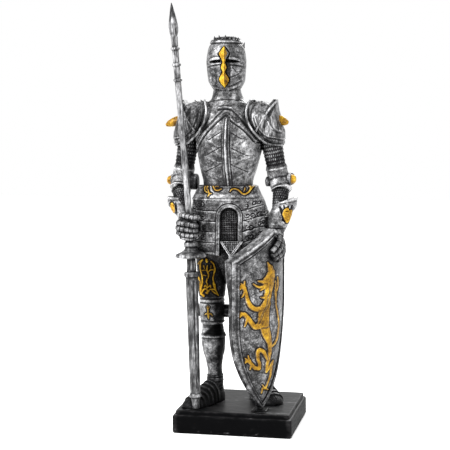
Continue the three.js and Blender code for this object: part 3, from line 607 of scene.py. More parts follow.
# Breastplate, backplate and neck
cuirass = {
    "levels": [(153, 0, 0, 18, 15.4, 8), (158, 0, 0, 17.8, 15.4, 7), (170, 0.4, 0, 20.6, 17.8, 6),
               (188, 1.1, 0, 24.2, 19.8, 5), (199, 1.1, 0, 25.4, 18.8, 4), (208, 0.9, 0.4, 24.6, 16, 4),
               (214.4, 0.2, 0.8, 18.6, 12.6, 4), (218.6, -0.6, 0.8, 11.8, 10.8, 4),
               (226, -0.9, 0.3, 9.4, 9, 3)],
    "spine": [(205.4, 2.3, 0.5, 0.2), (198, 2.1, 0.9, 1.6), (186, 1.9, 1.2, 2.6), (172, 2.2, 1.1, 2.6),
              (158, 3.0, 0.6, 1.5), (155, 3.1, 0.4, 0.3)],
    "bandTop": [(-24, 184), (-17.8, 192.6), (-7.6, 202.6), (-1.9, 209), (1.2, 211.2), (4.6, 210.6),
                (11.8, 204.2), (18.8, 195.6), (24, 188)],
    "bandFoot": [(-22, 179.5), (-18, 186.5), (-13.1, 193), (-7, 199.3), (-2.1, 203.9), (1.9, 206.8),
                 (5.5, 202.9), (12.1, 198.3), (17.6, 193), (21, 188.5)],
    "leftStar": [(195.4, -1.1), (189.3, -10.8), (184.2, -1.8), (178.2, -13.9), (172.9, -1.2),
                 (166.6, -14.4), (160.7, -1.4)],
    "rightStar": [(195, 5), (189.9, 14), (183.8, 6.2), (177.9, 17.6), (172.6, 5.2), (166.7, 16.6),
                  (160.3, 5.2)],
    "collar": [(-4.4, 212.2), (0, 213), (4.6, 212.4)],
    "backPlate": [(3, 205), (14, 199), (19, 186), (13, 168), (5, 157)],
    "rivetLines": ([(-20.5, 184), (-14.5, 192.6), (-8, 199.8)],
                   [(9.5, 203.4), (15.5, 197.8), (20.5, 190.6)]),
}


def rivets(a, b, line, pitch, radius):
    best = np.full(a.shape, 1e9)
    points = smoothLine(line, 12)
    length = np.concatenate([[0], np.cumsum(np.linalg.norm(np.diff(points, axis=0), axis=1))])
    for at in np.arange(pitch / 2, length[-1], pitch):
        spot = [np.interp(at, length, points[:, k]) for k in (0, 1)]
        best = np.minimum(best, np.hypot(a - spot[0], b - spot[1]))
    return ridge(best, radius)


def stars(x, z, normalOut):
    s = cuirass
    lift = np.zeros_like(x)
    for line, side in ((s["leftStar"], -1), (s["rightStar"], 1)):
        line = np.array(line)
        limit = np.interp(z, line[::-1, 0], line[::-1, 1])
        low, high = line[-1, 0], line[0, 0]
        tall = ease(low - 0.2, low + 0.2, z) * (1 - ease(high - 0.2, high + 0.2, z))
        inside = ease(-0.25, 0.25, side * (limit - x)) * tall * (side * (x - 2) > 0)
        gap = alongLine(x, z, line[:, ::-1])[0]
        falling = np.interp(z - 0.6, line[::-1, 0], line[::-1, 1]) * side < limit * side
        lift -= 0.5 * inside * ease(0, 6, gap)
        lift += np.where(falling, 0.25 * ridge(gap - 0.3, 0.7), -0.4 * ridge(gap, 0.65)) * tall
    return lift * normalOut


def makeCuirass():
    s = cuirass
    rows = np.linspace(153, 226, 240)
    shell = stack(s["levels"], rows, 330, power=2.15, bunch=0.5)
    normal = outward(shell)
    x, z = shell[..., 0], shell[..., 2]
    front = ease(0.1, 0.45, -normal[..., 1])
    back = ease(0.1, 0.45, normal[..., 1])
    top = alongLine(x, z, smoothLine(s["bandTop"]))[0]
    foot = alongLine(x, z, smoothLine(s["bandFoot"]))[0]
    upper = np.interp(x, *smoothLine(s["bandTop"]).T)
    lower = np.interp(x, *smoothLine(s["bandFoot"]).T)
    band = ease(-0.3, 0.3, upper - z) * ease(-0.3, 0.3, z - lower)
    lift = band * 0.55
    lift -= 0.55 * ridge(top - 0.3, 1.0) * (z > 184) + 0.75 * ridge(foot, 0.9)
    for line in s["rivetLines"]:
        lift += 0.45 * rivets(x, z, line, 2.1, 0.75)
    below = 1 - ease(-0.5, 0.5, z - lower)
    lift += stars(x, z, below)
    spine = np.array(s["spine"])[::-1]
    middle, half, out = (np.interp(z, spine[:, 0], spine[:, k]) for k in (1, 2, 3))
    tall = ease(154.6, 156, z) * (1 - ease(203.5, 206, z))
    keel = x - middle
    blade = np.clip(1 - np.abs(keel) / (half + 0.3), 0, 1) * out
    block = ease(-0.2, 0.2, 2.4 - np.abs(keel)) * 0.3
    lift = np.where((np.abs(keel) < 2.5) & (tall > 0), (block + blade) * tall, lift)
    lift -= 0.4 * (ridge(keel + 2.6, 0.6) * ridge(z - 183, 22) + ridge(keel - 3.0, 0.65)) * tall * (z < 201)
    lift += 0.55 * ridge(alongLine(x, z, s["collar"])[0], 0.8)
    lift -= 0.5 * ridge(alongLine(x, z, np.array(s["collar"]) - (0, 1.5))[0], 0.9)
    lift -= 0.3 * ridge(z - 218.2 + 0.01 * (x - 1) ** 2, 0.9)
    lift *= front
    seam = ridge(x - 0.9, 0.7) * (z < 208)
    plate = ridge(alongLine(np.abs(x - 0.9), z, smoothLine(s["backPlate"]))[0], 1)
    lift += (0.7 * seam - 0.5 * plate) * back
    lift += 0.42 * noise(shell, 4.5) + 0.16 * noise(shell, 1.2, 2)
    neck = ease(214, 217, z)
    # painted highlights: the patch at the right of the neck and the two lighter ovals on the chest
    patch = ridge(np.hypot((x + 6.5) / 5, (z - 219) / 3), 1) * front
    wash = 0.07 * neck + 0.08 * patch + 0.2 * ridge(keel, half + 0.2) * tall * front
    wash += 0.12 * ridge(np.hypot((x - 17) / 6, (z - 180) / 20), 1.2) * front
    wash += 0.07 * ridge(np.hypot((x + 10) / 6, (z - 192) / 8), 1.2) * front
    # painted shade beside the armholes, where the arms meet the body
    armpitShade = ease(10.5, 13.5, np.abs(x - 0.9)) * ease(194, 199, z) * (1 - ease(211, 214, z))
    return [relief(shell, lift, wash=wash, bare=0.85 * armpitShade, grain=0.6)]


# Belt, lames of the skirt, the arch with its mail, the laced flap
skirt = {
    "belt": [(143.6, 0, 0, 26.2, 21.4, 10), (146, 0, 0, 26, 21.2, 10), (151.6, 0, 0, 23.8, 19, 10),
             (157, 0, 0, 21.2, 17, 10)],
    "lames": [(108.4, 1.2, 0, 29.6, 23.8, 11), (117.2, 1.5, 0, 29.7, 23.5, 11),
              (124.8, 1.9, 0, 29.7, 22.9, 11), (132.2, 2.2, 0, 29.2, 22.3, 11),
              (139.6, 1.2, 0, 27.5, 21.7, 11), (147.4, 0.2, 0, 25.7, 20.9, 10)],
    "steps": [117.2, 124.8, 132.2, 139.6],
    "scrollSpans": ((212.5, 9.5), (243, 13)),
    "stepRise": 0.35,
    "archX": 4.9,
    "arch": (6.5, 142.2),
    "border": (8.8, 144.6),
    "archDepth": 3.8,
    "mesh": (1.33, 1.5),
    "underMail": [(86, -0.4, 1, 3, 4), (93, -0.4, 1, 9, 9), (103, 0.2, 0.5, 17, 14),
                  (109, 0.6, 0, 26.5, 21.2, 11)],
}


# Gilt scrolls of the belt on the grid of the front view: (right, down, half width)
beltScrolls = {
    "leftHook": [(205.6, 186.4, 0.45), (204.8, 189, 0.5), (205.4, 191, 0.5), (207.4, 192.6, 0.4)],
    "leftCurl": [(208.4, 184.8, 0.45), (207.8, 187, 0.55), (206.8, 189.6, 0.3)],
    "leftStem": [(208.2, 189.6, 0.4), (208.8, 192, 0.5), (209.4, 194, 0.55), (208, 196.6, 0.3)],
    "leftFoot": [(209.4, 194.2, 0.5), (211.2, 193.6, 0.4)],
    "leftRise": [(213.2, 186, 0.4), (214.2, 188.4, 0.55), (215.6, 190.2, 0.55), (218, 190.5, 0.5),
                 (221.6, 189, 0.35)],
    "leftLoop": [(215.6, 187.2, 0.35), (217, 186.2, 0.4), (218.8, 187, 0.3)],
    "rightWave": [(230.2, 191.6, 0.3), (231.6, 189.6, 0.45), (234.4, 188.9, 0.45), (238, 190, 0.6),
                  (240.4, 192, 0.65), (242.4, 193.8, 0.65), (244.6, 194.4, 0.65), (247, 193.3, 0.65),
                  (249.4, 191, 0.65), (250.4, 188.4, 0.6), (250.2, 185.8, 0.5), (249, 184.2, 0.4)],
    "rightTail": [(250.4, 190, 0.45), (252, 187.6, 0.5), (254.4, 185.6, 0.4)],
    "rightBud": [(244.8, 188, 0.3), (244.6, 189.6, 0.45), (243.8, 191.2, 0.3)],
    "rightSpur": [(248.4, 185, 0.3), (249.6, 187.2, 0.3)],
}


def spiral(x, z, centre, radius, turns, start, hand=1):
    t = np.linspace(0, 1, 22)
    angle = start + hand * turns * 2 * math.pi * t
    line = np.column_stack([centre[0] + radius * (1 - 0.86 * t) * np.cos(angle),
                            centre[1] + radius * (1 - 0.86 * t) * np.sin(angle)])
    return alongLine(x, z, line)[0]


def archGap(x, z, half, crown, centre):       # below 0 inside the arch
    side = np.abs(x - centre) - half
    bow = np.hypot(x - centre, z - (crown - half)) - half
    return np.where(z > crown - half, bow, side)


def mesh(a, b, pitchA, pitchB):          # crossed wires, 1 on a wire and 0 in a hole
    u = a / pitchA - np.round(a / pitchA)
    v = b / pitchB - np.round(b / pitchB)
    return np.maximum(ridge(u, 0.27), ridge(v, 0.24))


def mailRings(a, b, pitch):
    row = np.round(b / (pitch * 0.8))
    u = (a / pitch + 0.5 * (row % 2)) % 1 - 0.5
    v = b / (pitch * 0.8) - row
    ring = np.hypot(u, v * 0.9)
    return ridge(ring - 0.36, 0.22)


def makeSkirt():
    s = skirt
    skins = []
    band = stack(s["belt"], np.linspace(146.9, 157.2, 64), 360, bunch=0.55)
    normal = outward(band)
    x, z = band[..., 0], band[..., 2]
    front = ease(0.0, 0.3, -normal[..., 1])
    right, down = onDrawing(band)
    lift = 0.35 * noise(band, 3) + 0.15 * noise(band, 1, 2)
    lower = ridge(down - 196, 3.4) * front
    lift += 0.25 * lower + 0.3 * ridge(z - 156.4, 1) + 0.35 * ridge(z - 147.6, 0.9)
    gap = strokeGap(right, down, beltScrolls) * 0.7 + 0.11
    beside = sum(front * ease(-1.5, -0.5, -np.abs(right - middle) / reach)
                 for middle, reach in s["scrollSpans"])
    pits = ease(0.05, 0.35, noise(band + 30, 1.3, 2)) * (1 - ease(190, 194, down)) * np.clip(beside, 0, 1)
    lift += (0.6 * (1 - ease(-0.1, 0.35, gap)) - 0.4 * ridge(gap - 0.75, 0.6)) * front
    gilt = (1 - ease(0.0, 0.28, gap)) * front
    tab = front * ridge((right - 226) / 5.4, 1.0) * ease(186, 188, down)
    wash = 0.1 * lower + 0.08 * tab - 0.05 * front * (1 - ease(188, 192, down)) * (1 - tab)
    swirl = np.minimum.reduce([spiral(np.abs(x), z, (26 - 5 * i, 151), 1.8, 1.4, i) for i in range(5)])
    lift -= 0.4 * ridge(swirl, 0.6) * ease(0, 0.5, normal[..., 1])
    dark = front * (0.85 * ridge(gap - 0.8, 0.55) * ease(0.2, 0.5, gap) * (1 - lower) + 0.7 * pits)
    skins.append(relief(band, lift, gilt=gilt, bare=np.clip(dark, 0, 1), wash=wash))

    rows = np.linspace(108.4, 147.5, 150)
    shell = stack(s["lames"], rows, 380, bunch=0.6)
    normal = outward(shell)
    x, z = shell[..., 0], shell[..., 2]
    front = ease(0.0, 0.3, -normal[..., 1])
    height = z - 3.6 * ease(11, 27, x) * front - 1.2 * ease(11, 27, -x) * front
    lift = 0.35 * noise(shell, 3) + 0.15 * noise(shell, 1, 2)
    joint = 0 * z
    for step in s["steps"]:
        below = step - height
        lift += s["stepRise"] * (ease(-0.2, 0.25, below) - ease(0.2, 7.2, below))
        lift -= 0.55 * ridge(below + 0.2, 0.45)
        joint = np.maximum(joint, ridge(below + 0.15, 0.4))
    lift += 0.6 * ridge(z - 109.6, 1.2)
    border, opening = s["border"], s["arch"]
    centre = s["archX"]
    outer = archGap(x, z, *border, centre)
    inner = archGap(x, z, *opening, centre)
    level = 0 * z
    sides = ease(11, 14, -x) + ease(14, 18, x)
    for row, foot in enumerate([109.6, 117.2, 124.8, 132.2, 139.8]):
        for k in range(7):
            for side in (-1, 1):
                rise = 3.2 * ease(11, 27, np.array(side * (12 + 4 * k)))
                at = (centre + side * (12.2 + 3.7 * k) + 1.1 * math.sin(3 * k + row),
                      foot + 3.6 + 0.8 * math.cos(5 * k + 2 * row) + rise)
                if -31 < at[0] < 33:
                    level = np.maximum(level, ridge(spiral(x, z, at, 2.1, 1.1, k * 2.1 + row, side), 0.6))
    pits = ease(0.12, 0.4, noise(shell + 60, 1.5, 2))
    level = np.maximum(level, 0.8 * pits) * np.clip(sides, 0, 1)
    lift -= 0.6 * level * front * ease(0.3, 1.5, outer)
    rear = 0 * z
    for foot in [113, 120.6, 128.2, 135.6]:
        for k in range(9):
            rear = np.maximum(rear, ridge(spiral(x, z, (-22 + 5.6 * k, foot), 1.9, 1.3, k * 2.1, 1), 0.62))
    lift -= 0.5 * rear * (1 - ease(-0.3, 0, -normal[..., 1]))
    hoop = ease(-0.2, 0.2, -outer) * (1 - ease(-0.2, 0.2, -inner))
    beads = 0.3 * noise(shell, 1.1, 2)
    beaded = np.maximum(lift, 0.3) * (1 - hoop) + (0.5 + beads) * hoop
    lift = np.where((hoop > 0) & (front > 0.5), beaded, lift)
    lift -= 0.45 * ridge(outer - 0.5, 0.6) * front
    within = ease(-0.15, 0.3, -inner) * front
    rings = mesh(x - centre, z, *s["mesh"])
    mailLift = -s["archDepth"] + 0.7 * rings
    lift = lift * (1 - within) + mailLift * within
    lift = np.where(within > 0.98, mailLift, lift)
    bare = within * (1 - 0.85 * rings) + (0.85 * level + 0.7 * joint) * front * (1 - within) * (1 - hoop)
    wash = front * (0.07 * ease(12, 18, x) - 0.03 * ease(-14, -8, -x))
    skins.append(relief(shell, lift, bare=np.clip(bare, 0, 1), size=0.7, wash=wash))

    # mail under the lames, between the thighs: dark mail, darkened further with painted shade under the
    # lames
    u = np.linspace(0, 1, 60)
    under = stack(s["underMail"], 86 + 23 * u, 200)
    rings = mailRings(under[..., 0], under[..., 2], 1.7)
    skins.append(relief(under, 0.3 * rings - 0.2, bare=0.75 - 0.3 * rings))
    skins.append(makeFlap())
    return skins


def makeFlap():          # laced flap that hangs in the arch, a rounded wedge with a raised hem
    s = skirt
    v = np.linspace(0, 1, 60)
    u = np.linspace(-1, 1, 60)
    top, foot = 118.6, 105.4
    z = (foot + (top - foot) * v)[:, None] + 0 * u[None]
    half = 1.4 + 6.8 * np.clip((z - 108.8) / (118 - 108.8), 0, 1)
    x = 6.8 + half * u[None]
    y = -24.4 + 0.03 * (x - 6.8) ** 2
    edge = (1 - np.abs(u[None])) * half
    rings = mesh(x - s["archX"], z, *s["mesh"])
    lift = 0.7 * (1 - ease(1.9, 2.5, edge)) - 0.35 * ridge(edge - 1.1, 0.4)
    lift += 0.5 * rings * (edge > 2.5) - 0.4
    lift = np.where(z < 109.6, 0.5, lift)
    face = np.stack([x, y - lift, z], axis=-1)
    rear = np.stack([x, 0 * x - 19.5, z], axis=-1)
    both = np.concatenate([face, rear[:, ::-1]], axis=1)
    hem = np.concatenate([np.where((edge > 2.5) & (z > 109.6), 1 - 0.85 * rings, 0), 0 * z + 1], axis=1)
    return Skin(both, bare=hem, size=0.6, wash=0.08)


# Pauldrons: bell, cap plate, rolled rims, flange and horn; side is -1 for the right one, 1 for the left
shoulder = {
    "axis": 0.9,
    "bell": [(217, 20.6, 0.6, 5.5, 6.5), (214.6, 22.8, 0.6, 9.2, 11.4), (210, 25.2, 0.4, 11, 14.8),
             (203, 26.9, 0, 11.2, 17.4), (196, 30.2, 0, 10.1, 17), (186.6, 35.4, 0, 5.2, 12.4)],
    "cap": [(196, 35, 0, 4.6, 10), (203, 32.8, 0, 5.6, 14.4), (210, 32, 0, 4.8, 12.8),
            (218.2, 34.4, 0, 1.3, 6.4)],
    "rim": [(17.3, 217.3, 12.6), (15.3, 209.9, 16.8), (16.1, 203.8, 17.8), (19.4, 197.1, 17.6),
            (24.7, 191, 16.6), (30.4, 187, 13.6), (39.2, 185.9, 8.6)],
    "rimRadius": 0.72,
    "groove": [(21.2, 204.5), (23.4, 198.6), (26.8, 193.8), (30.8, 191.2), (40.6, 189.4)],
    "hem": [(31.4, -16.8, 202.6), (32.9, -16.4, 199.2), (35.6, -14.6, 196.2), (39.4, -8.6, 194.6),
            (40.4, 0, 194.4)],
    "flange": [(22.8, -15, 195.6), (26.4, -17, 201.4), (32, -13.6, 211), (36.6, -6.6, 217.6)],
    "teeth": [(20.5, -4, 1.6), (24.5, -5, 2.4), (28.4, -4, 1.4), (31.6, -3, 2.2)],
}


# Shadow and light painted on the pauldrons, on the grid of the front view: (right, down, half width)
shoulderDark = {
    "flangeLeft": [(276, 103, 0.4), (269, 116, 0.9), (264.6, 123, 0.7)],
    "triangleLeft": [(268, 119, 1.4), (265.6, 124, 1.6), (264, 127.6, 0.5)],
    "hemLeft": [(270, 119.6, 0.5), (270.6, 124, 0.8), (273, 128.8, 0.9), (277, 132, 0.8), (283, 133.4, 0.6)],
    "topLeft": [(262, 105, 1.2), (266, 104.6, 0.8)],
    "ovalRight": [(190, 109, 1), (187.6, 114, 1.4), (188, 120, 1.2), (190.4, 125, 0.7)],
    "edgeRight": [(184, 104, 0.8), (183, 110, 0.7)],
}
shoulderLight = {
    "hemLeft": [(271.6, 121, 0.4), (272.4, 125, 0.5), (275, 128.8, 0.5), (279, 130.8, 0.6), (283, 131, 0.6)],
    "ovalLeft": [(273.4, 113, 1.6), (273, 119, 2), (275.6, 125, 1.4)],
    "crescentRight": [(192.4, 110, 0.5), (191, 116, 0.8), (192.4, 122, 0.6)],
}


def shoulderMarks(points):
    right, down = onDrawing(points)
    front = ease(0.0, 0.3, -outward(points)[..., 1])
    dark = (1 - ease(0.0, 0.9, strokeGap(right, down, shoulderDark))) * front
    light = (1 - ease(0.0, 0.9, strokeGap(right, down, shoulderLight))) * front
    return 0.75 * dark, 0.02 + 0.14 * light - 0.06 * dark


def mirrorX(side, x):
    return shoulder["axis"] + side * (x - shoulder["axis"])


def flipped(side, points):
    points = np.array(points, float)
    points[:, 0] = mirrorX(side, points[:, 0])
    return points


def makePauldron(side, droop, reach, inset):
    s = shoulder

    def flip(levels):
        return [(z, mirrorX(side, x), y, wide, deep) for z, x, y, wide, deep in levels]

    skins = []
    bell = stack(flip(s["bell"]), np.linspace(187, 217, 100), 230, power=2.6)
    x, z = mirrorX(side, bell[..., 0]), bell[..., 2]
    streaks = noise(bell * (1, 1, 0.22) + (side * 9, 0, 0), 1.5, 2)
    lift = 0.9 * streaks + 0.35 * noise(bell, 4)
    line = smoothLine(s["groove"])
    lift -= 0.5 * ridge(alongLine(x, z, line)[0], 0.8)
    lift += 0.35 * ridge(alongLine(x, z, line + (0.9, 1.1))[0], 0.8)
    dark, wash = shoulderMarks(bell)
    skins.append(relief(bell, lift, bare=np.maximum(dark, 0.3 * ease(208, 216, z)), wash=wash))
    cap = stack(flip(s["cap"]), np.linspace(196, 218.2, 80), 150, power=2.2)
    lift = 0.8 * noise(cap * (1, 1, 0.25), 1.4, 2) + 0.3 * noise(cap, 4)
    lift += 0.5 * ridge(cap[..., 2] - 197.2, 1)
    dark, wash = shoulderMarks(cap)
    skins.append(relief(cap, lift, bare=np.maximum(dark, 0.3 * ease(208, 216, cap[..., 2])), wash=wash))
    front = [(x + inset, -out, z) for x, z, out in s["rim"]]
    back = [(x + inset + 2 - 0.16 * (x - 17.3), out - 1.4, z - 1 + 0.08 * (x - 17.3))
            for x, z, out in s["rim"]][::-1]
    start, end = (20.6, 3, 216), (39.4, 0, 185.8)
    loop = [start, (18.4 + inset, -6.6, 217.8)] + front + [end] + back + [(22, 8, 210), start]
    tube = rod(flipped(side, loop), s["rimRadius"], 260, 12)[0]
    skins.append(relief(tube, 0.16 * noise(tube, 1.6, 2), ends=(False, False)))
    for line, size in ((s["hem"], 0.6), (s["flange"], 0.75)):
        tube = rod(flipped(side, line), size, 70, 12)[0]
        skins.append(relief(tube, 0.16 * noise(tube, 1.6, 2)))
    for x, y, tall in s["teeth"]:
        if side < 0:
            root = np.array([mirrorX(side, x), y, 215.2 - 0.25 * (x - 20)])
            path = [root, root + (0.3, 0.2, tall), root + (0.8 * side, 0.4, tall + 1.6)]
            skins.append(Skin(rod(path, (1.5, 1.0, 0.25), 14, 10)[0], bare=0.5))
    horn = limb([(mirrorX(side, 33), -1, 203.6, 4.4, 4.8),
                 (mirrorX(side, 35.4), -1, 203.5 - droop * 0.1, 4.1, 4.2),
                 (mirrorX(side, 37.6 + reach * 0.2), -1, 203.4 - droop * 0.2, 3.7, 3.7),
                 (mirrorX(side, 42 + reach * 0.8), -1, 202 - droop * 0.6, 2.5, 2.4),
                 (mirrorX(side, 44.1 + reach), -1, 201.2 - droop, 1, 1)], 60, 40)[0]
    tip = ease(36.2, 37, mirrorX(side, horn[..., 0]))
    skins.append(relief(horn, 0.5 * noise(horn * (0.4, 1, 1), 1.3, 2), gilt=tip))
    return skins


# Arms: mail sleeve, elbow cop with its disc, mail forearm and the flared cuff of the gauntlet
rightArm = {
    "side": -1,
    "shoulder": (-27.9, 1, 198), "elbow": (-34.8, 5, 162), "bell": (-35.2, -1, 153.6),
    "wrist": (-28.7, -17, 133.5), "palm": 3.9, "disc": (-46.4, 5, 160.3), "bossReach": 12.2, "bossHalf": 5.8,
    "cuff": (-37.5, -8, 147.5), "half": 5.9, "waist": (-33.5, -12, 141.2), "narrow": 5, "rise": -0.5,
}
leftArm = {
    "side": 1,
    "shoulder": (29.4, 1, 198), "elbow": (35.8, 5, 162.5), "bell": (38.2, 2, 153.9),
    "wrist": (37.6, -8, 130.3), "palm": 7, "disc": (48.6, 5, 161.7), "bossReach": 8.9, "bossHalf": 3.5,
    "cuff": (42.7, -2, 145.9), "half": 8.1, "waist": (39.8, -4.7, 138.9), "narrow": 7.9, "rise": 2.4,
}


# Rings and grooves of the cops and of the legs: place, size and half width
copLines = ((0.15, 0.4, 0.05), (0.55, -0.45, 0.03), (0.6, 0.3, 0.04), (0.94, 0.8, 0.05), (0.86, -0.3, 0.03))
kneeLines = ((74.6, 0.6, 1.1), (72.9, -0.5, 0.7), (58.6, 0.5, 0.9), (60.1, -0.4, 0.6), (56.6, -0.6, 0.8))
greaveLines = ((48.2, 0.5, 0.9), (46.9, -0.3, 0.6))


def between(a, b, share):
    return tuple(p + (q - p) * share for p, q in zip(a, b))


def mailSleeve(points, pitch=1.6, tall=2.6, depth=0.45):     # short upright links in staggered rows
    length = np.concatenate([[0], np.cumsum(np.linalg.norm(np.diff(points, axis=0), axis=2).mean(axis=1))])
    ring = np.linalg.norm(np.diff(points, axis=1), axis=2).mean(axis=0)
    around = np.concatenate([[0], np.cumsum(ring)])
    row = np.floor(length / tall)[:, None]
    u = (around[None] / pitch + 0.5 * (row % 2)) % 1 - 0.5
    v = (length[:, None] / tall) % 1 - 0.5
    link = ridge(np.hypot(u * 1.1, v), 0.5)
    return depth * link, link


def makeArm(s):
    side, shoulderAt, elbow, bell, wrist = s["side"], s["shoulder"], s["elbow"], s["bell"], s["wrist"]
    skins = []
    rings = ((0, 9.3, 9.1), (0.5, 7.1, 8), (0.8, 6.7, 7.2))
    path = [(*between(shoulderAt, elbow, share), wide, deep) for share, wide, deep in rings]
    sleeve = limb(path, 120, 190)[0]
    lift, link = mailSleeve(sleeve)
    low = 1 - ease(between(shoulderAt, elbow, 0.62)[2], between(shoulderAt, elbow, 0.5)[2], sleeve[..., 2])
    bare = np.clip(0.92 - 0.85 * link + 0.5 * low, 0, 1)
    skins.append(relief(sleeve, lift - 0.15, bare=bare, wash=0.03 * link))
    plates = [(shoulderAt, elbow, 0.72, 6.6, 7), (shoulderAt, elbow, 0.77, 7.4, 8),
              (shoulderAt, elbow, 0.9, 7.5, 8.2), (elbow, bell, 0, 7.6, 8.6), (elbow, bell, 0.6, 7, 8),
              (bell, wrist, 0, 6.8, 7.6), (bell, wrist, 0.02, 6.2, 6.8)]
    points, at = limb([(*between(a, b, share), wide, deep) for a, b, share, wide, deep in plates], 130, 180)
    normal = outward(points)
    lift = 0.5 * noise(points, 3) + 0.18 * noise(points, 1, 2)
    t = at[:, None] + 0 * lift
    for place, size, half in copLines:
        lift += size * ridge(t - place, half)
    front = ease(0.1, 0.5, -normal[..., 1])
    inner = ease(0.2, 0.8, -side * normal[..., 0])
    # black at the top of the plates, and painted shade on the inner side of the elbow, towards the body
    dark = 0.95 * (1 - ease(0.07, 0.13, t)) + 0.95 * inner * ridge(t - 0.56, 0.24)
    dark += 0.5 * ridge(t - 0.55, 0.03)
    flecks = ease(0.1, 0.5, noise(points + 20, 3, 2)) * front
    dark += 0.6 * flecks * ease(0.3, 0.4, t) * (1 - ease(0.5, 0.6, t))
    wash = 0.05 + 0.08 * ridge(t - 0.75, 0.14) * front + 0.12 * ridge(t - 0.94, 0.04)
    skins.append(relief(points, lift, bare=np.clip(dark, 0, 1), wash=wash))
    rings = ((-0.06, 5.9, 5.8), (0.1, 5.6, 5.6), (0.7, 4.8, 4.8), (1, 3.7, 3.7))
    forearm = limb([(*between(bell, wrist, share), wide, deep) for share, wide, deep in rings], 70, 130)[0]
    lift, link = mailSleeve(forearm, 1.5, 1.9, 0.35)
    skins.append(relief(forearm, lift, bare=1 - 0.55 * link))
    skins += makeCuff(s)
    skins += makeDisc(s)
    return skins


# Gilt leaf, dark piercings and painted highlights of the cuffs on the grid of the front view
cuffLeaf = {
    "left": [(287.4, 208.6, 0.8), (286.4, 211.4, 2.6), (286.8, 214.6, 4), (287.2, 217.6, 3.2),
             (286.6, 222, 0.8)],
    "leftTip": [(291, 210.6, 0.8), (289, 214, 2), (288, 218, 1.6)],
    "leftEdge": [(283.4, 214.4, 1), (284.6, 216, 1.4)],
    "right": [(172.4, 203.8, 0.8), (172.8, 206.4, 1.6), (173.4, 209.4, 1.6), (174.4, 212.2, 0.5)],
    "rightTip": [(171.4, 203.4, 0.6), (171.8, 207, 0.9)],
}
cuffDark = {
    "leftA": [(280, 207, 0.9), (281.2, 210, 1), (281.4, 213, 0.6)],
    "leftB": [(284, 205.6, 0.5), (284.8, 208.4, 0.5)],
    "leftC": [(288.4, 206.4, 0.8), (287.4, 208, 0.4)],
    "leftD": [(292, 205.6, 0.6), (291.4, 208.4, 0.4)],
    "leftE": [(282.6, 220, 0.9), (284.6, 221.4, 0.6)],
    "leftGold": [(285.8, 211.4, 0.25), (288, 211.2, 0.3)],
    "rightA": [(175.6, 203, 0.5), (176.2, 208, 0.5), (176.6, 214, 0.5)],
    "rightB": [(173.6, 205.4, 0.4), (174, 206.4, 0.3)],
}
cuffHighlights = {
    "left": [(280, 220, 1.4), (280, 226, 1.6), (283, 231, 0.8)],
    "leftFlutes": [(282.6, 206.6, 0.2), (286.2, 205, 0.3), (290, 206.4, 0.2)],
    "right": [(179.4, 203, 1.4), (180.6, 210, 1.8), (184, 216, 1.6), (192, 218, 1.2)],
}


def makeCuff(s):
    cuff, wrist, side = s["cuff"], s["wrist"], s["side"]
    half, narrow, rise = s["half"], s["narrow"], s["rise"]
    stations = [(cuff[0], cuff[1], cuff[2] + 0.5, half - 2.2, half - 2.6, rise),
                (cuff[0], cuff[1], cuff[2] + 1.2, half - 1.1, half - 1.5, rise),
                (*cuff, half, half - 0.4, rise),
                (cuff[0], cuff[1], cuff[2] - 1.8, half - 0.6, half - 1, rise),
                (*s["waist"], narrow, narrow, rise / 2),
                (*wrist, s["palm"] + 0.2, 5.6, 0),
                (wrist[0] - 0.6, wrist[1] - 0.4, wrist[2] - 4.2, s["palm"] - 2, 4, 0)]
    points, at = limb(stations, 110, 200)
    normal = outward(points)
    t = at[:, None] + 0 * points[..., 0]
    angle = roundAngles(200, 0.35)[None]
    flutes = np.cos(angle * 20)
    near = ease(0.0, 0.25, -normal[..., 1])
    fluted = ease(0.3, 0.36, t) * (1 - ease(0.5, 0.6, t)) * (1 - near)
    lift = 0.15 * flutes * fluted + 0.5 * ridge(t - 0.2, 0.06)
    lift += 0.3 * noise(points, 2.6) - 0.3 * ridge(t - 0.28, 0.04)
    right, down = onDrawing(points)
    edge = strokeGap(right, down, cuffLeaf) * 0.7
    leaf = (1 - ease(-0.05, 0.25, edge)) * near
    marks = (1 - ease(-0.1, 0.6, strokeGap(right, down, cuffDark))) * near
    lift += leaf * (0.6 + 0.4 * noise(points + 5, 1.2, 2))
    lift -= 0.4 * ridge(edge - 0.6, 0.5) * near + 0.5 * marks
    inner = ease(0.2, 0.8, -side * normal[..., 0])
    # painted shade on the cuff's inner side, towards the body
    dark = 0.8 * ridge(edge - 0.6, 0.5) * near * (1 - leaf) + 0.9 * marks + 0.8 * inner * ease(0.2, 0.3, t)
    # painted highlights on the near side of the cuff
    wash = 0.04 + 0.12 * (1 - ease(0.0, 2.0, strokeGap(right, down, cuffHighlights))) * near
    return [relief(points, lift, gilt=leaf, bare=np.clip(dark, 0, 1), wash=wash)]


# Disc of the elbow, from its foot inwards to its gilt middle: inwards, behind, half width, half height
discProfile = [(7, 3, 3, 5), (5.2, 1, 4, 5.2), (4.4, 0, 4.6, 5.4), (3.7, 0, 4.1, 4.9), (3.4, 0, 3.6, 4.3),
               (1.2, 0, 2.9, 3.4), (0.3, 0, 2, 2.4), (0, 0, 1.1, 1.3)]


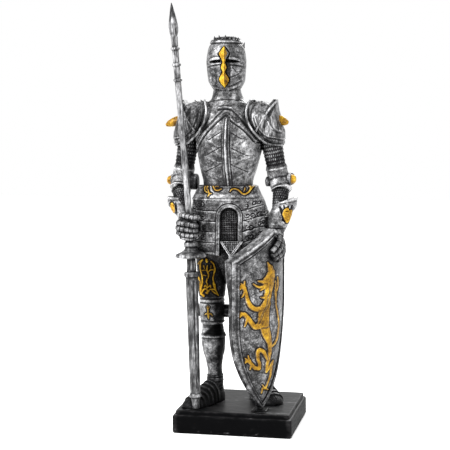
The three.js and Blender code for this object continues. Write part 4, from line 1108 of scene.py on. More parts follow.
def makeDisc(s):          # disc on the outside of the elbow and the boss on its inside
    side, (x, y, z), elbow = s["side"], s["disc"], s["elbow"]
    points = limb([(x - side * inwards, y + behind, z, wide, tall)
                   for inwards, behind, wide, tall in discProfile], 80, 110)[0]
    out = side * (points[..., 0] - x)
    lift = 0.3 * noise(points, 2.2)
    gilt = ease(-3.4, -3.1, out + 0 * lift)
    dark = 0.85 * ridge(out + 3.7, 0.5) + 0.7 * (1 - ease(-6.2, -5.2, out))
    skins = [relief(points, lift, gilt=gilt, bare=np.clip(dark * (1 - gilt), 0, 1))]
    half, reach, bossY, bossZ = s["bossHalf"], s["bossReach"], elbow[1] - 3, elbow[2] - 2.6
    boss = limb([(elbow[0] - side * 4, bossY + 1, bossZ, half, half),
                 (elbow[0] - side * (reach - 0.9), bossY, bossZ, half, half - 0.4),
                 (elbow[0] - side * reach, bossY, bossZ, half - 1.4, half - 1.6)], 40, 80)[0]
    skins.append(relief(boss, 0.4 * noise(boss, 2), bare=0.95))
    return skins


# Hands: plated fingers, the right ones from the point of grip, the left ones by their places on the shield
hands = {
    "grip": (-22.1, -25.6, 128.0),
    "rightFingers": [
        [(-6.5, 4, 4.2), (-8, -2, 3.6), (-3.6, -5.4, 2.9), (2.8, -4.4, 1.6), (4.2, 1, 1.2)],
        [(-7.5, 4, 0.6), (-8.4, -2, 0.2), (-3.8, -5.8, -0.8), (2.6, -4.8, -1.8), (4, 1, -2)],
        [(-7, 4, -2.8), (-8, -2, -3), (-4, -5.4, -4.6), (2.2, -4.6, -5.4), (3.6, 1, -5.4)],
        [(-5, 4, -6), (-6, -1.6, -6.2), (-3, -4.6, -7.2), (1.6, -4, -7.8), (2.8, 1, -7.8)],
    ],
    "rightThumb": [(-7, 2, 9), (-3.5, -3.4, 8.6), (2.6, -4, 7.4), (6.2, -1, 7)],
    "leftFingers": [
        ((37.5, -9, 123), [(11, 124.5, 1.5), (7, 119, -1.2), (2, 114.4, -1.6), (-2, 111.4, -1.4)]),
        ((38, -9, 119), [(16, 121.5, 1.5), (10.6, 115, -1.2), (4, 110.6, -1.5), (-1.4, 108.6, -1.4)]),
        ((38, -8, 116), [(19, 118.6, 1.5), (13, 111.4, -1.2), (6, 107.8, -1.5), (0.4, 106.4, -1.4)]),
        ((37.6, -7, 113), [(21.5, 116, 1.5), (14.6, 108.8, -1.2), (9.4, 106.4, -1.2), (5, 105.4, -1.2)]),
    ],
}


def finger(path, radius, steps=70, plate=2.6, wash=0.03):
    points, at, length = rod(path, radius, steps, 24, aim=(0.1, 0.2, 1))
    along = (at * length)[:, None] + 0 * points[..., 0]
    saw = (along / plate) % 1
    lift = 0.4 * (saw - 0.5) * radius / 2.4 - 0.25 * ridge(saw - 0.02, 0.12) + 0.15 * noise(points, 1.1, 2)
    # painted shade on the undersides of the fingers
    below = ease(0.1, 0.7, -outward(points)[..., 2])
    return relief(points, lift, bare=np.clip(0.7 * ridge(saw, 0.14) + 0.9 * below, 0, 1), size=0.6,
                  wash=wash)


def makeRightHand():
    s = hands
    x, y, z = s["grip"]

    def fromGrip(path):
        return [(x + a, y + b, z + c) for a, b, c in path]

    palm = limb([(*rightArm["wrist"], 3.9, 4.3), (x - 5.4, y + 7, z + 4.6, 5, 5.6),
                 (x - 2, y + 4.4, z + 1.2, 6, 6), (x - 1.6, y + 3.4, z - 5, 4.4, 4.6)], 110, 130)[0]
    lames = (palm[..., 2] + 0.4 * palm[..., 0]) % 3.4
    lift = 0.5 * noise(palm, 2.2, 2) + 0.12 * (lames - 1.7) - 0.35 * ridge(lames - 1.7, 0.5)
    skins = [relief(palm, lift, bare=0.5 * ridge(lames - 1.7, 0.55))]
    for path, radius in zip(s["rightFingers"], (1.95, 1.95, 1.95, 1.55)):
        skins.append(finger(fromGrip(path), radius, 110))
    skins.append(finger(fromGrip(s["rightThumb"]), 1.95))
    return skins


def makeLeftHand():
    s = hands
    palm = limb([(*leftArm["wrist"], 6.9, 5.5), (36.6, -8.5, 124, 5.4, 5.5), (36.6, -9.5, 118, 5, 6),
                 (36, -11, 112.5, 3.8, 5)], 110, 130)[0]
    lames = ridge(palm[..., 2] % 3.4 - 1.7, 0.6)
    skins = [relief(palm, 0.6 * noise(palm, 2.2, 2) - 0.4 * lames, bare=np.clip(0.35 + 0.5 * lames, 0, 1))]
    for root, held in s["leftFingers"]:
        path = [root] + [tuple(shieldPoint(np.array(float(a)), h, np.array(float(b)))) for a, h, b in held]
        skins.append(finger(path, 1.7, 100, 5.2, -0.05))
    return skins


# Legs
rightLeg = {
    "hip": (-12, -0.5, 120), "knee": (-11.2, -3.5, 66), "ankle": (-9.8, 0.5, 19),
    "heel": (-9, 7), "arch": (-12, -12), "toe": (-25, -31.6), "wing": 11.8,
}
leftLeg = {
    "hip": (10.6, 1, 120), "knee": (12, -2.5, 66), "ankle": (20, 14.5, 19),
    "heel": (17.4, 21.4), "arch": (25.6, 9), "toe": (37.4, -9), "wing": 15.2,
}


# Gilt ornaments of the right leg on the grid of the front view: (right, down, half width)
legScrolls = {
    "frameLeft": [(203, 259.5, 0.5), (200.8, 262.5, 0.6), (200.3, 266, 0.6), (200.8, 270, 0.6),
                  (201.8, 274, 0.6), (202.6, 279, 0.6), (202.2, 284, 0.6), (201.4, 289, 0.7),
                  (201.2, 293, 0.9), (204, 296, 0.9)],
    "frameSecond": [(200.6, 281.5, 0.4), (200.4, 286, 0.5), (200.6, 291, 0.5), (201, 294, 0.5)],
    "hook": [(197.8, 275.8, 0.7), (198.9, 278.4, 0.7), (200, 280.6, 0.5)],
    "topArc": [(198.4, 264, 0.3), (199.4, 262, 0.4), (203, 259.4, 0.4)],
    "topBud": [(206.4, 259.4, 0.9), (206.9, 261.6, 1.1)],
    "frameRight": [(211, 261.3, 0.5), (213, 263.2, 0.7), (214.2, 266, 0.6), (214.8, 269.6, 0.7),
                   (213.8, 274, 0.5), (213, 278, 0.45), (213.6, 282, 0.5)],
    "block": [(213.6, 282.5, 0.8), (214.4, 285.6, 1.3), (215, 288.6, 0.8), (216, 290.6, 0.4)],
    "archLeft": [(201.5, 270.5, 0.3), (205, 270, 0.35), (207.6, 271.4, 0.4)],
    "stem": [(207.4, 265.6, 0.4), (207, 269, 0.5), (208, 272.6, 0.75), (208.6, 275.4, 0.5),
             (208.2, 278, 0.4)],
    "archRight": [(208.6, 271.6, 0.4), (211, 269.6, 0.5), (213.6, 269.8, 0.4)],
    "curlLeft": [(203.8, 265.6, 0.45), (204.6, 268.6, 0.3)],
    "curlRight": [(211, 265.4, 0.3), (210.6, 268, 0.35)],
    "bar": [(203, 275.2, 0.3), (206, 275.6, 0.3)],
    "stemLow": [(207.2, 278.6, 0.5), (206.6, 281.6, 0.7), (207.4, 284, 0.5), (207.6, 288, 0.35)],
    "knotLeft": [(204.6, 286.6, 0.6), (205.8, 285.4, 0.8), (207, 287.6, 0.4)],
    "knotRight": [(207.8, 287.6, 0.4), (210.2, 285.6, 0.7), (210.8, 287.6, 0.35)],
    "baseLeft": [(202, 292.4, 0.8), (203.6, 289.8, 0.7), (206.2, 288.6, 0.7), (207.8, 290.6, 0.8),
                 (207.4, 293.4, 0.7), (205.8, 292.6, 0.4)],
    "baseRight": [(208.6, 291.6, 0.5), (209.6, 289.6, 0.45), (213, 289.2, 0.45), (215.8, 290.6, 0.5),
                  (217, 293, 0.5), (218.4, 295.4, 0.4)],
    "lineLow": [(212, 290.6, 0.4), (214.4, 292.6, 0.5), (217.6, 294.6, 0.4)],
    "kneeStem": [(207.9, 306, 0.4), (208, 309.6, 0.5), (208, 313, 0.8), (208.4, 316, 0.9),
                 (208.6, 318.6, 0.4)],
    "kneeCross": [(205.2, 314.6, 0.3), (206.8, 313.6, 0.6), (210.6, 313.8, 0.6), (212.4, 315.6, 0.4)],
    "kneeBud": [(206.8, 307.2, 0.3), (207.9, 309, 0.35), (209.4, 307, 0.3)],
}


# Cross-sections down the thigh and down the shin: share of the way, half width, half depth
thighPlates = [(0, 12.6, 13), (0.5, 10.6, 11.6), (0.80, 9.3, 10.3), (0.83, 8.5, 9.5), (0.865, 9.2, 10.6),
               (0.95, 9.1, 11.4)]
shinPlates = [(0.06, 8.8, 11.6), (0.17, 8.4, 9.9), (0.2, 7.6, 8.6), (0.33, 8.1, 8.9), (0.37, 9, 9.8),
              (0.58, 8.2, 9.4), (0.8, 6, 6.8), (0.94, 5.3, 6.1), (1.1, 6.1, 6.9)]


def makeLeg(s):
    hip, knee, ankle = s["hip"], s["knee"], s["ankle"]
    stations = [(*between(hip, knee, share), wide, deep) for share, wide, deep in thighPlates]
    stations += [(*between(knee, ankle, share), wide, deep) for share, wide, deep in shinPlates]
    points = limb(stations, 330, 190)[0]
    normal = outward(points)
    centre = points.mean(axis=1, keepdims=True)
    across, depth = points[..., 0] - centre[..., 0], points[..., 1] - centre[..., 1]
    z = points[..., 2]
    front = ease(0.05, 0.35, -normal[..., 1])
    lift = 0.35 * noise(points, 3) + 0.15 * noise(points, 1, 2)
    # cuisse: black with a gilt frame of scrolls
    thigh = ease(76.5, 77.5, z)
    right, down = onDrawing(points)
    shift = 45 if knee[0] > 0 else 0
    gap = strokeGap(right - shift, down, legScrolls) * 0.7 + 0.09
    drawn = (1 - ease(-0.05, 0.3, gap)) * front
    lift += 0.45 * drawn - 0.3 * ridge(gap - 0.7, 0.6) * front
    bare = np.maximum(0.96 * thigh, 0.6 * ridge(gap - 0.7, 0.5) * front * (1 - thigh))
    for at, size, half in kneeLines:
        lift += size * ridge(z - at, half)
    # the shaded half of the leg gets painted shade, and the bend under the knee keeps its black
    sideways = across / np.abs(across).max(axis=1, keepdims=True)
    shaded = ease(0.15, 0.75, sideways + 0.5 * noise(points, 6)) * (1 - ease(72, 76, z))
    bend = ease(48.9, 49.7, z) * (1 - ease(56.4, 57.6, z))
    bare = np.maximum(bare, bend * ease(-0.2, 0.15, sideways + 0.7 - 0.14 * (z - 49.5)))
    bare = np.maximum(bare, 0.85 * shaded)
    lift += 0.2 * ridge((z % 2.4) - 1.2, 0.9) * bend
    # greave: silver, turned rim on top, diagonal relief streaks and dark streaks down the shin
    for at, size, half in greaveLines:
        lift += size * ridge(z - at, half)
    shin = ease(20, 24, z) * (1 - ease(44, 47, z))
    lift += 0.5 * noise(np.stack([across + 0.5 * z, depth, 0.22 * z], axis=-1), 2.4) * shin
    dull = noise(np.stack([across, depth, 0.3 * z + 40], axis=-1), 4.5)
    bare = np.maximum(bare, 0.55 * shin * ease(0.02, 0.2, dull))
    # painted light on the lit half of the leg and painted shade on its shaded half
    wash = 0.05 * (1 - shaded) * (1 - ease(72, 76, z)) - 0.3 * bend * bare - 0.1 * shaded
    skins = [relief(points, lift, gilt=drawn, bare=bare, wash=wash, grain=0.58)]
    reach = s["wing"]
    wing = limb([(knee[0] - 6, knee[1] + 1, knee[2], 3.6, 4.4),
                 (knee[0] - reach + 1.8, knee[1] + 2, knee[2], 4.5, 5.5),
                 (knee[0] - reach + 0.8, knee[1] + 2.2, knee[2], 4.3, 5.3),
                 (knee[0] - reach, knee[1] + 2.4, knee[2], 3.0, 4.0)], 50, 90)[0]
    around = np.arctan2(wing[..., 2] - knee[2], wing[..., 1] - knee[1] - 2)
    flutes = np.cos(around * 9)
    lift = 0.35 * flutes * ease(-9, -11, wing[..., 0] - knee[0]) + 0.3 * noise(wing, 1.6)
    skins.append(relief(wing, lift, bare=0.97 if knee[0] > 0 else 0.0))
    return skins


# Sabatons: pointed lames over the foot, along its own curve on the plinth
def makeSabaton(s):
    heel, arch, toe, ankle = (np.array(s[key], float) for key in ("heel", "arch", "toe", "ankle"))
    stations = [(0, 5, 9), (0.06, 6.6, 14), (0.2, 7.4, 17.5), (0.33, 7.6, 16), (0.5, 7.9, 13.4),
                (0.64, 8.3, 10.6), (0.78, 8.5, 7.9), (0.88, 7.2, 5.8), (0.95, 5.4, 4.2),
                (0.985, 3.6, 3.1), (1, 2.0, 2.0)]
    t = np.linspace(0, 1, 190)
    size = glide(stations, t)
    path = ((1 - t) ** 2)[:, None] * heel + (2 * t * (1 - t))[:, None] * arch + (t * t)[:, None] * toe
    along = unitRows(np.gradient(path, axis=0))
    across = np.column_stack([-along[:, 1], along[:, 0]])
    angle = np.linspace(0, math.pi, 110)[None]
    c, h = np.cos(angle), np.sin(angle) ** 0.8
    points = np.stack([path[:, 0:1] + across[:, 0:1] * size[:, 0:1] * c,
                       path[:, 1:2] + across[:, 1:2] * size[:, 0:1] * c,
                       size[:, 1:2] * h + 0 * c], axis=-1)
    # lames lap forwards, each edge a shallow point over the middle
    place = t[:, None] - 0.035 * (1 - np.abs(c)) + 0 * c
    lift = np.zeros_like(place)
    edges = np.zeros_like(place)
    for at in (0.36, 0.455, 0.55, 0.645, 0.74, 0.82):
        below = place - at
        lift += 0.75 * (ease(-0.012, 0.006, -below) * (1 - ease(0.0, 0.085, -below)))
        lift -= 0.35 * ridge(below - 0.008, 0.014)
        edges = np.maximum(edges, ridge(below + 0.02, 0.026))
    for k in range(5):
        lift -= 0.3 * ridge(angle - math.pi * (0.2 + 0.15 * k), 0.07) * ease(0.84, 0.87, place)
    lift += 0.25 * noise(points, 2.2) + 0.12 * noise(points, 0.8, 2)
    lift *= np.sin(angle) ** 0.25
    normal = outward(np.concatenate([points, points[:, :1] * (1, 1, 0)], axis=1))[:, :-1]
    middle = np.concatenate([path, size[:, 1:2] * 0.3], axis=1)[:, None]
    inwards = (normal * (points - middle)).sum(axis=-1, keepdims=True) < 0
    normal = np.where(inwards, -normal, normal)
    points = points + normal * lift[..., None]
    points[..., 2] = np.maximum(points[..., 2], 0.0)
    sole = np.stack([points[:, -1], points[:, 0]], axis=1)
    part = np.linspace(0.1, 0.9, 5)[None, :, None]
    inner = sole[:, :1] * (1 - part) + sole[:, 1:] * part
    whole = np.concatenate([points, inner * (1, 1, 0)], axis=1)
    crown = ease(0.35, 0.8, np.sin(angle) * (0.8 + 0.2 * c)) + 0 * place
    worn = np.clip(edges * (0.45 + 1.2 * noise(points, 5)) * crown, 0, 1)
    worn = worn * (1 - 0.6 * ease(0.72, 0.9, place))
    bare = np.concatenate([0.97 - 0.7 * worn, np.ones((len(t), 5))], axis=1)
    shaft = limb([(*ankle[:3], 6.0, 6.8), (ankle[0], ankle[1] - 0.3, 13, 6.1, 7.2),
                  (ankle[0], ankle[1] - 0.5, 8, 6.5, 7.9)], 60, 120)[0]
    lift = 0.3 * noise(shaft, 2) - 0.5 * ridge((shaft[..., 2] % 3.2) - 1.6, 0.6)
    return [Skin(whole, bare=bare, wash=-0.1), relief(shaft, lift, bare=0.85, wash=-0.05)]


# Lance: turned shaft, hand guard, rings and leaf blade, leaning a little differently above the grip
lance = {
    "foot": (-27.2, -30.2, 16.2), "grip": (-32.1, -25.6, 144.2), "tipShift": (-13.3, 0.6), "reach": 285.0,
    "thick": 4.4, "thin": 2.2, "footRadius": 3.2, "guard": 11.2, "guardBelow": 19.3,
    "blade": 22.0, "bladeWide": 6.6, "bladeDeep": 4.4,
}


def shaftAlong(start, end, profile, columns=72, rows=400):
    start, end = np.array(start, float), np.array(end, float)
    axis = unitRows(end - start)
    side = unitRows(np.cross(axis, (0.0, 1.0, 0.0)))
    front = np.cross(side, axis)
    profile = np.array(profile, float)
    length = np.concatenate([[0], np.cumsum(np.hypot(*np.diff(profile, axis=0).T))])
    at = np.unique(np.concatenate([np.linspace(0, length[-1], rows), length]))
    radius, height = np.interp(at, length, profile[:, 0]), np.interp(at, length, profile[:, 1])
    angle = roundAngles(columns, 0)[None]
    points = (start + axis * height[:, None])[:, None] + (radius[:, None, None]
              * (side * np.cos(angle)[..., None] - front * np.sin(angle)[..., None]))
    return points, angle, height[:, None] + 0 * angle, (axis, side, front)


def makeLance():
    s = lance
    foot, grip = np.array(s["foot"]), np.array(s["grip"])
    tip = grip + (*s["tipShift"], s["reach"] - (grip[2] - foot[2]))
    lower, upper = np.linalg.norm(grip - foot), np.linalg.norm(tip - grip)
    guard, thick, thin, toe = lower - s["guardBelow"], s["thick"], s["thin"], s["footRadius"]
    profile = [(toe - 0.4, 0), (toe - 0.4, 5), (toe, 8), (toe + 1, 8.5), (toe + 1.1, 9.4), (toe + 1, 10.3),
               (toe + 0.5, 11),
               (toe + 0.45, 13), (thick, guard - 28), (thick + 0.1, guard - 15.5),
               (thick + 0.9, guard - 15.1),
               (thick + 1, guard - 14.4), (thick + 1, guard - 12.6), (thick + 0.8, guard - 12),
               (thick - 1, guard - 11.6),
               (thick - 1.3, guard - 2.5), (6.5, guard - 2.3), (s["guard"] - 1, guard - 1.9),
               (s["guard"], guard - 1),
               (s["guard"], guard - 0.2), (s["guard"] - 0.7, guard + 1.0), (thick + 2.6, guard + 2.4),
               (thick + 0.7, guard + 3.6), (thick - 0.4, guard + 5.4), (thick + 0.4, guard + 6.2),
               (thick + 0.7, guard + 7),
               (thick + 0.5, guard + 8.4), (thick - 0.2, guard + 9.4), (thick - 0.8, guard + 10.4),
               (thin, guard + 13),
               (thin, lower + 0.6)]
    points, angle, height = shaftAlong(fromPlinth(foot), fromPlinth(grip), profile, 84, 520)[:3]
    lift = 0.3 * noise(points * (1, 1, 0.3), 1.8) + 0.12 * noise(points, 0.9, 2)
    planked = ease(14, 16, height) * (1 - ease(guard - 18, guard - 17, height))
    planks = ridge(np.cos(angle * 3) - 1, 0.25) * planked
    lift -= 0.35 * planks
    flutes = ease(guard - 11, guard - 10.4, height) * (1 - ease(guard - 3.4, guard - 2.8, height))
    lift += 0.2 * np.cos(angle * 7) * flutes
    streaks = ease(0.02, 0.2, noise(points * (1, 1, 0.12) + 70, 1.4, 2))
    collar = ridge(height - guard - 1, 2.6)
    bare = np.clip(0.25 * planks + 0.5 * streaks * ease(12, 14, height) + 0.45 * collar, 0, 1)
    skins = [relief(points, lift, bare=bare, wash=-0.02 + 0.05 * ridge(height - guard + 0.6, 0.9))]
    bladeFoot = upper - s["blade"]
    upperProfile = [(thin, 0), (thin, bladeFoot - 33.4)]
    for below in (33, 22.4, 11.2):
        upperProfile += [(thin, bladeFoot - below), (thin + 0.8, bladeFoot - below + 0.5),
                         (thin + 0.95, bladeFoot - below + 1.2),
                         (thin + 0.8, bladeFoot - below + 1.9), (thin, bladeFoot - below + 2.5)]
    upperProfile += [(thin + 0.1, bladeFoot - 5), (thin + 0.25, bladeFoot - 2),
                     (thin * 0.8, bladeFoot + 1), (0.5, bladeFoot + 4)]
    ends = fromPlinth(grip), fromPlinth(tip)
    points, angle, height, (axis, side, front) = shaftAlong(*ends, upperProfile, 56, 560)
    lift = 0.25 * noise(points * (1, 1, 0.25), 1.6) + 0.1 * noise(points, 0.8, 2)
    plain = 1 - ease(bladeFoot - 36, bladeFoot - 34, height)
    groove = ridge(np.cos(2 * angle + 0.6) - 1, 0.08)
    lift -= 0.28 * groove * plain
    lift -= 0.3 * ridge(np.cos(4 * angle + 0.4) - 1, 0.12) * (1 - plain)
    streaks = ease(0.0, 0.22, noise(points * (1, 1, 0.2) + 90, 1.5, 2))
    bare = 0.2 * groove * plain + (0.35 + 0.35 * (1 - plain)) * streaks
    skins.append(relief(points, lift, bare=np.clip(bare, 0, 1), wash=-0.01))
    skins.append(makeBlade(fromPlinth(grip), axis, side, front, bladeFoot))
    return skins


def makeBlade(grip, axis, side, front, foot):
    s = lance
    stations = [(-4, 0.3, 0.34), (-1.4, 0.36, 0.5), (0, 0.4, 0.56), (2.4, 0.5, 0.6), (4.6, 0.52, 0.6),
                (8, 0.47, 0.54), (12, 0.37, 0.46), (17.6, 0.2, 0.32), (21, 0.08, 0.15), (22, 0.03, 0.06)]
    t = np.linspace(-4, 22, 120)
    size = glide(stations, t)
    angle = roundAngles(56, 0)[None]
    c, n = np.cos(angle), np.sin(angle)
    reach = 1 / (np.abs(c) ** 1.12 + np.abs(n) ** 1.12) ** (1 / 1.12)
    points = ((grip + axis * (foot + t[:, None]))[:, None]
              + side * (size[:, :1] * s["bladeWide"] * c * reach)[..., None]
              - front * (size[:, 1:2] * s["bladeDeep"] * n * reach)[..., None])
    lift = 0.2 * noise(points, 1.4, 2)
    eye = ridge(np.hypot((t[:, None] + 1.2) / 1.6, c * 2.2), 1) * (n < 0)
    lift = lift - 0.7 * eye
    worn = 0.7 * ease(-0.02, 0.18, noise(points * (1, 1, 0.5) + 40, 1.6, 2))
    return relief(points, lift, bare=np.maximum(0.9 * eye, worn), wash=-0.03)


# Shield: plate curved about its height, raised rim, stippled field and the rampant lion
shield = {
    "width": 53.4, "corner": 105.5, "peak": 127.0, "peakAcross": 3.3, "straight": 77.0, "taper": 2.86,
    "bulge": 11.8, "bow": 8.6,
    "thick": 3.6, "topThick": 6.8, "thickening": (76, 98), "spread": 0.09, "rim": 3.9, "rimRise": 1.0,
    "turn": 57.4,
    "place": (17.1, -25.0), "foot": 17.4, "lionRise": 0.9,
}

# Lion rampant, drawn on a grid laid over the front view: (right, down, half width)
lion = {
    "crest": [(272.4, 272, 3.2), (270.6, 267, 1.8), (268.6, 262.4, 0.4)],
    "ear": [(273, 270, 1.6), (272.4, 265.6, 0.4)],
    "head": [(271.6, 276, 3.9), (268.8, 280.4, 4.2), (264, 282, 1.6), (259.6, 281.4, 0.8)],
    "jaw": [(269, 285, 3.6), (262.4, 287.4, 1.3), (258, 286.6, 0.9), (254.4, 284.2, 0.5)],
    "chin": [(266, 286, 2.4), (261.4, 290.6, 0.5)],
    "tuft": [(267, 295, 2), (265, 298, 1), (261.8, 297.4, 0.4)],
    "neck": [(271.6, 275, 3.8), (270, 284, 4.3), (269.2, 292, 3.3), (268.6, 299, 2.9), (267.4, 304, 3.7)],
    "trunk": [(267.4, 304, 3.7), (265, 311, 5), (264.4, 319, 5.4), (265.4, 326, 4.4), (267, 333, 4.2),
              (269.4, 340, 2.9), (270.8, 346, 1.9), (270.6, 353, 1.6)],
    "raisedArm": [(264, 309, 3), (257.5, 309.4, 2.2), (252.4, 307, 2.2), (249, 301.4, 1.8),
                  (247, 294, 1.5), (245.2, 288, 1.8)],
    "raisedPaw": [(245, 288, 2), (242.4, 286.6, 1.8), (240.8, 289.4, 0.7)],
    "raisedToe": [(245, 287, 1.2), (245.6, 281.6, 0.5)],
    "raisedToe2": [(244, 286, 1.2), (242, 283.8, 0.5)],
    "raisedClaw": [(246, 291.6, 1.2), (244.4, 295, 0.8), (242.4, 297.6, 0.4)],
    "loweredArm": [(264, 320, 4), (260, 326, 3), (256.4, 327.2, 2.4), (252.6, 323.4, 2.2), (249, 318, 2),
                   (245, 314.4, 1.9)],
    "loweredPaw": [(246, 315, 2), (242.4, 314.4, 1.6), (240.6, 317.6, 0.6)],
    "loweredToe": [(244.4, 314, 1.2), (241, 312.4, 0.5)],
    "loweredClaw": [(248.6, 318.4, 1.4), (247.4, 322, 1), (245.6, 326.8, 0.4)],
    "raisedLeg": [(268.4, 359.6, 1.2), (266.2, 355, 1.7), (263.6, 351.2, 1.9), (260.6, 350.2, 2),
                  (258.6, 353, 1.7), (258.8, 358.6, 1.5), (260.4, 364.4, 1.4), (259.6, 368.6, 1.8),
                  (256.4, 368.4, 1.8), (252.6, 364.6, 1.5), (249.8, 361.2, 1.6)],
    "hindPaw": [(250, 361, 1.8), (247.6, 361.4, 1.5), (246.2, 363, 0.6)],
    "hindToe": [(249.8, 361, 1.3), (249, 355.8, 0.5)],
    "hindToe2": [(248.4, 361, 1.2), (246.2, 358.6, 0.5)],
    "hindClaw": [(252.4, 364.4, 1.1), (250.8, 369.6, 0.4)],
    "standingLeg": [(270.6, 352, 1.6), (269.6, 358, 1.5), (268, 365, 1.4), (267, 372.4, 0.7)],
    "hock": [(267.4, 372, 0.8), (270, 367.8, 1.2), (272.4, 364.6, 1.3), (274, 360.2, 0.3)],
    "shank": [(272, 367, 1.2), (271.4, 374, 0.9), (269.8, 379.6, 0.7), (267.8, 385, 0.7), (266, 388.6, 0.9)],
    "footPaw": [(266.4, 388, 1), (263.6, 388.4, 0.7), (262.2, 393.4, 0.4)],
    "footToe": [(265.6, 388.6, 0.8), (263.4, 385, 0.4)],
    "footHeel": [(266, 388.6, 0.7), (268.8, 389.6, 0.4)],
    "tail": [(273, 346.4, 0.8), (276.4, 342.4, 0.8), (278.6, 335, 0.7), (279.6, 324, 0.6), (278.4, 313, 0.6),
             (276.8, 303, 0.5), (277, 293, 0.5), (278.8, 285, 0.7), (278.4, 277, 0.4)],
    "tailTwist": [(276.6, 300, 0.4), (276, 292, 0.4), (276.6, 284, 0.5), (276.2, 281, 0.3)],
}
lionLines = {
    "flank": [(271.4, 299, 0.35), (268.6, 306, 0.45), (264.4, 312, 0.5), (261.6, 319, 0.5),
              (259.6, 323.6, 0.3)],
    "rib": [(268.4, 298.6, 0.3), (267.2, 305, 0.35), (263.6, 312, 0.35), (261.4, 317, 0.3)],
    "waist": [(262.4, 328.4, 0.35), (266.4, 328, 0.4), (270, 326.6, 0.3)],
    "thigh": [(267, 352, 0.3), (268.6, 356, 0.4), (268.8, 360, 0.3)],
    "mouth": [(259, 285, 0.3), (263.6, 285, 0.5)],
    "mane": [(270.4, 285, 0.2), (270, 292, 0.3), (268.2, 297, 0.2)],
}


def shieldPoint(across, height, behind):
    s = shield
    turn, half = math.radians(s["turn"]), s["width"] / 2
    normal = np.array([math.sin(turn), -math.cos(turn), 0])
    along = np.array([math.cos(turn), math.sin(turn), 0])
    low = np.maximum(0, 1 - height / s["straight"])
    out = s["bulge"] * (1 - (across / half) ** 2) - s["bow"] * low ** 1.5 - behind
    x, y = s["place"]
    base = np.stack([x + 0 * out, y + 0 * out, s["foot"] + height + 0 * out], axis=-1)
    return fromPlinth(base + along * np.asarray(across)[..., None] + normal * out[..., None])


def shieldHalf(height):
    s = shield
    return s["width"] / 2 * (1 - np.maximum(0, 1 - height / s["straight"]) ** s["taper"])


def shieldDepth(height):
    s = shield
    share = np.clip((height - s["thickening"][0]) / (s["thickening"][1] - s["thickening"][0]), 0, 1)
    swell = s["spread"] * np.maximum(0, height - s["thickening"][1])
    return s["thick"] + (s["topThick"] - s["thick"]) * share * share * (3 - 2 * share) + swell


def shieldTop(across):
    s = shield
    beyond = across - s["peakAcross"]
    share = np.clip(1 - np.abs(beyond) / (s["width"] / 2 - np.sign(beyond) * s["peakAcross"]), 0, 1)
    return s["corner"] + (s["peak"] - s["corner"]) * share ** np.where(beyond < 0, 0.92, 0.55)


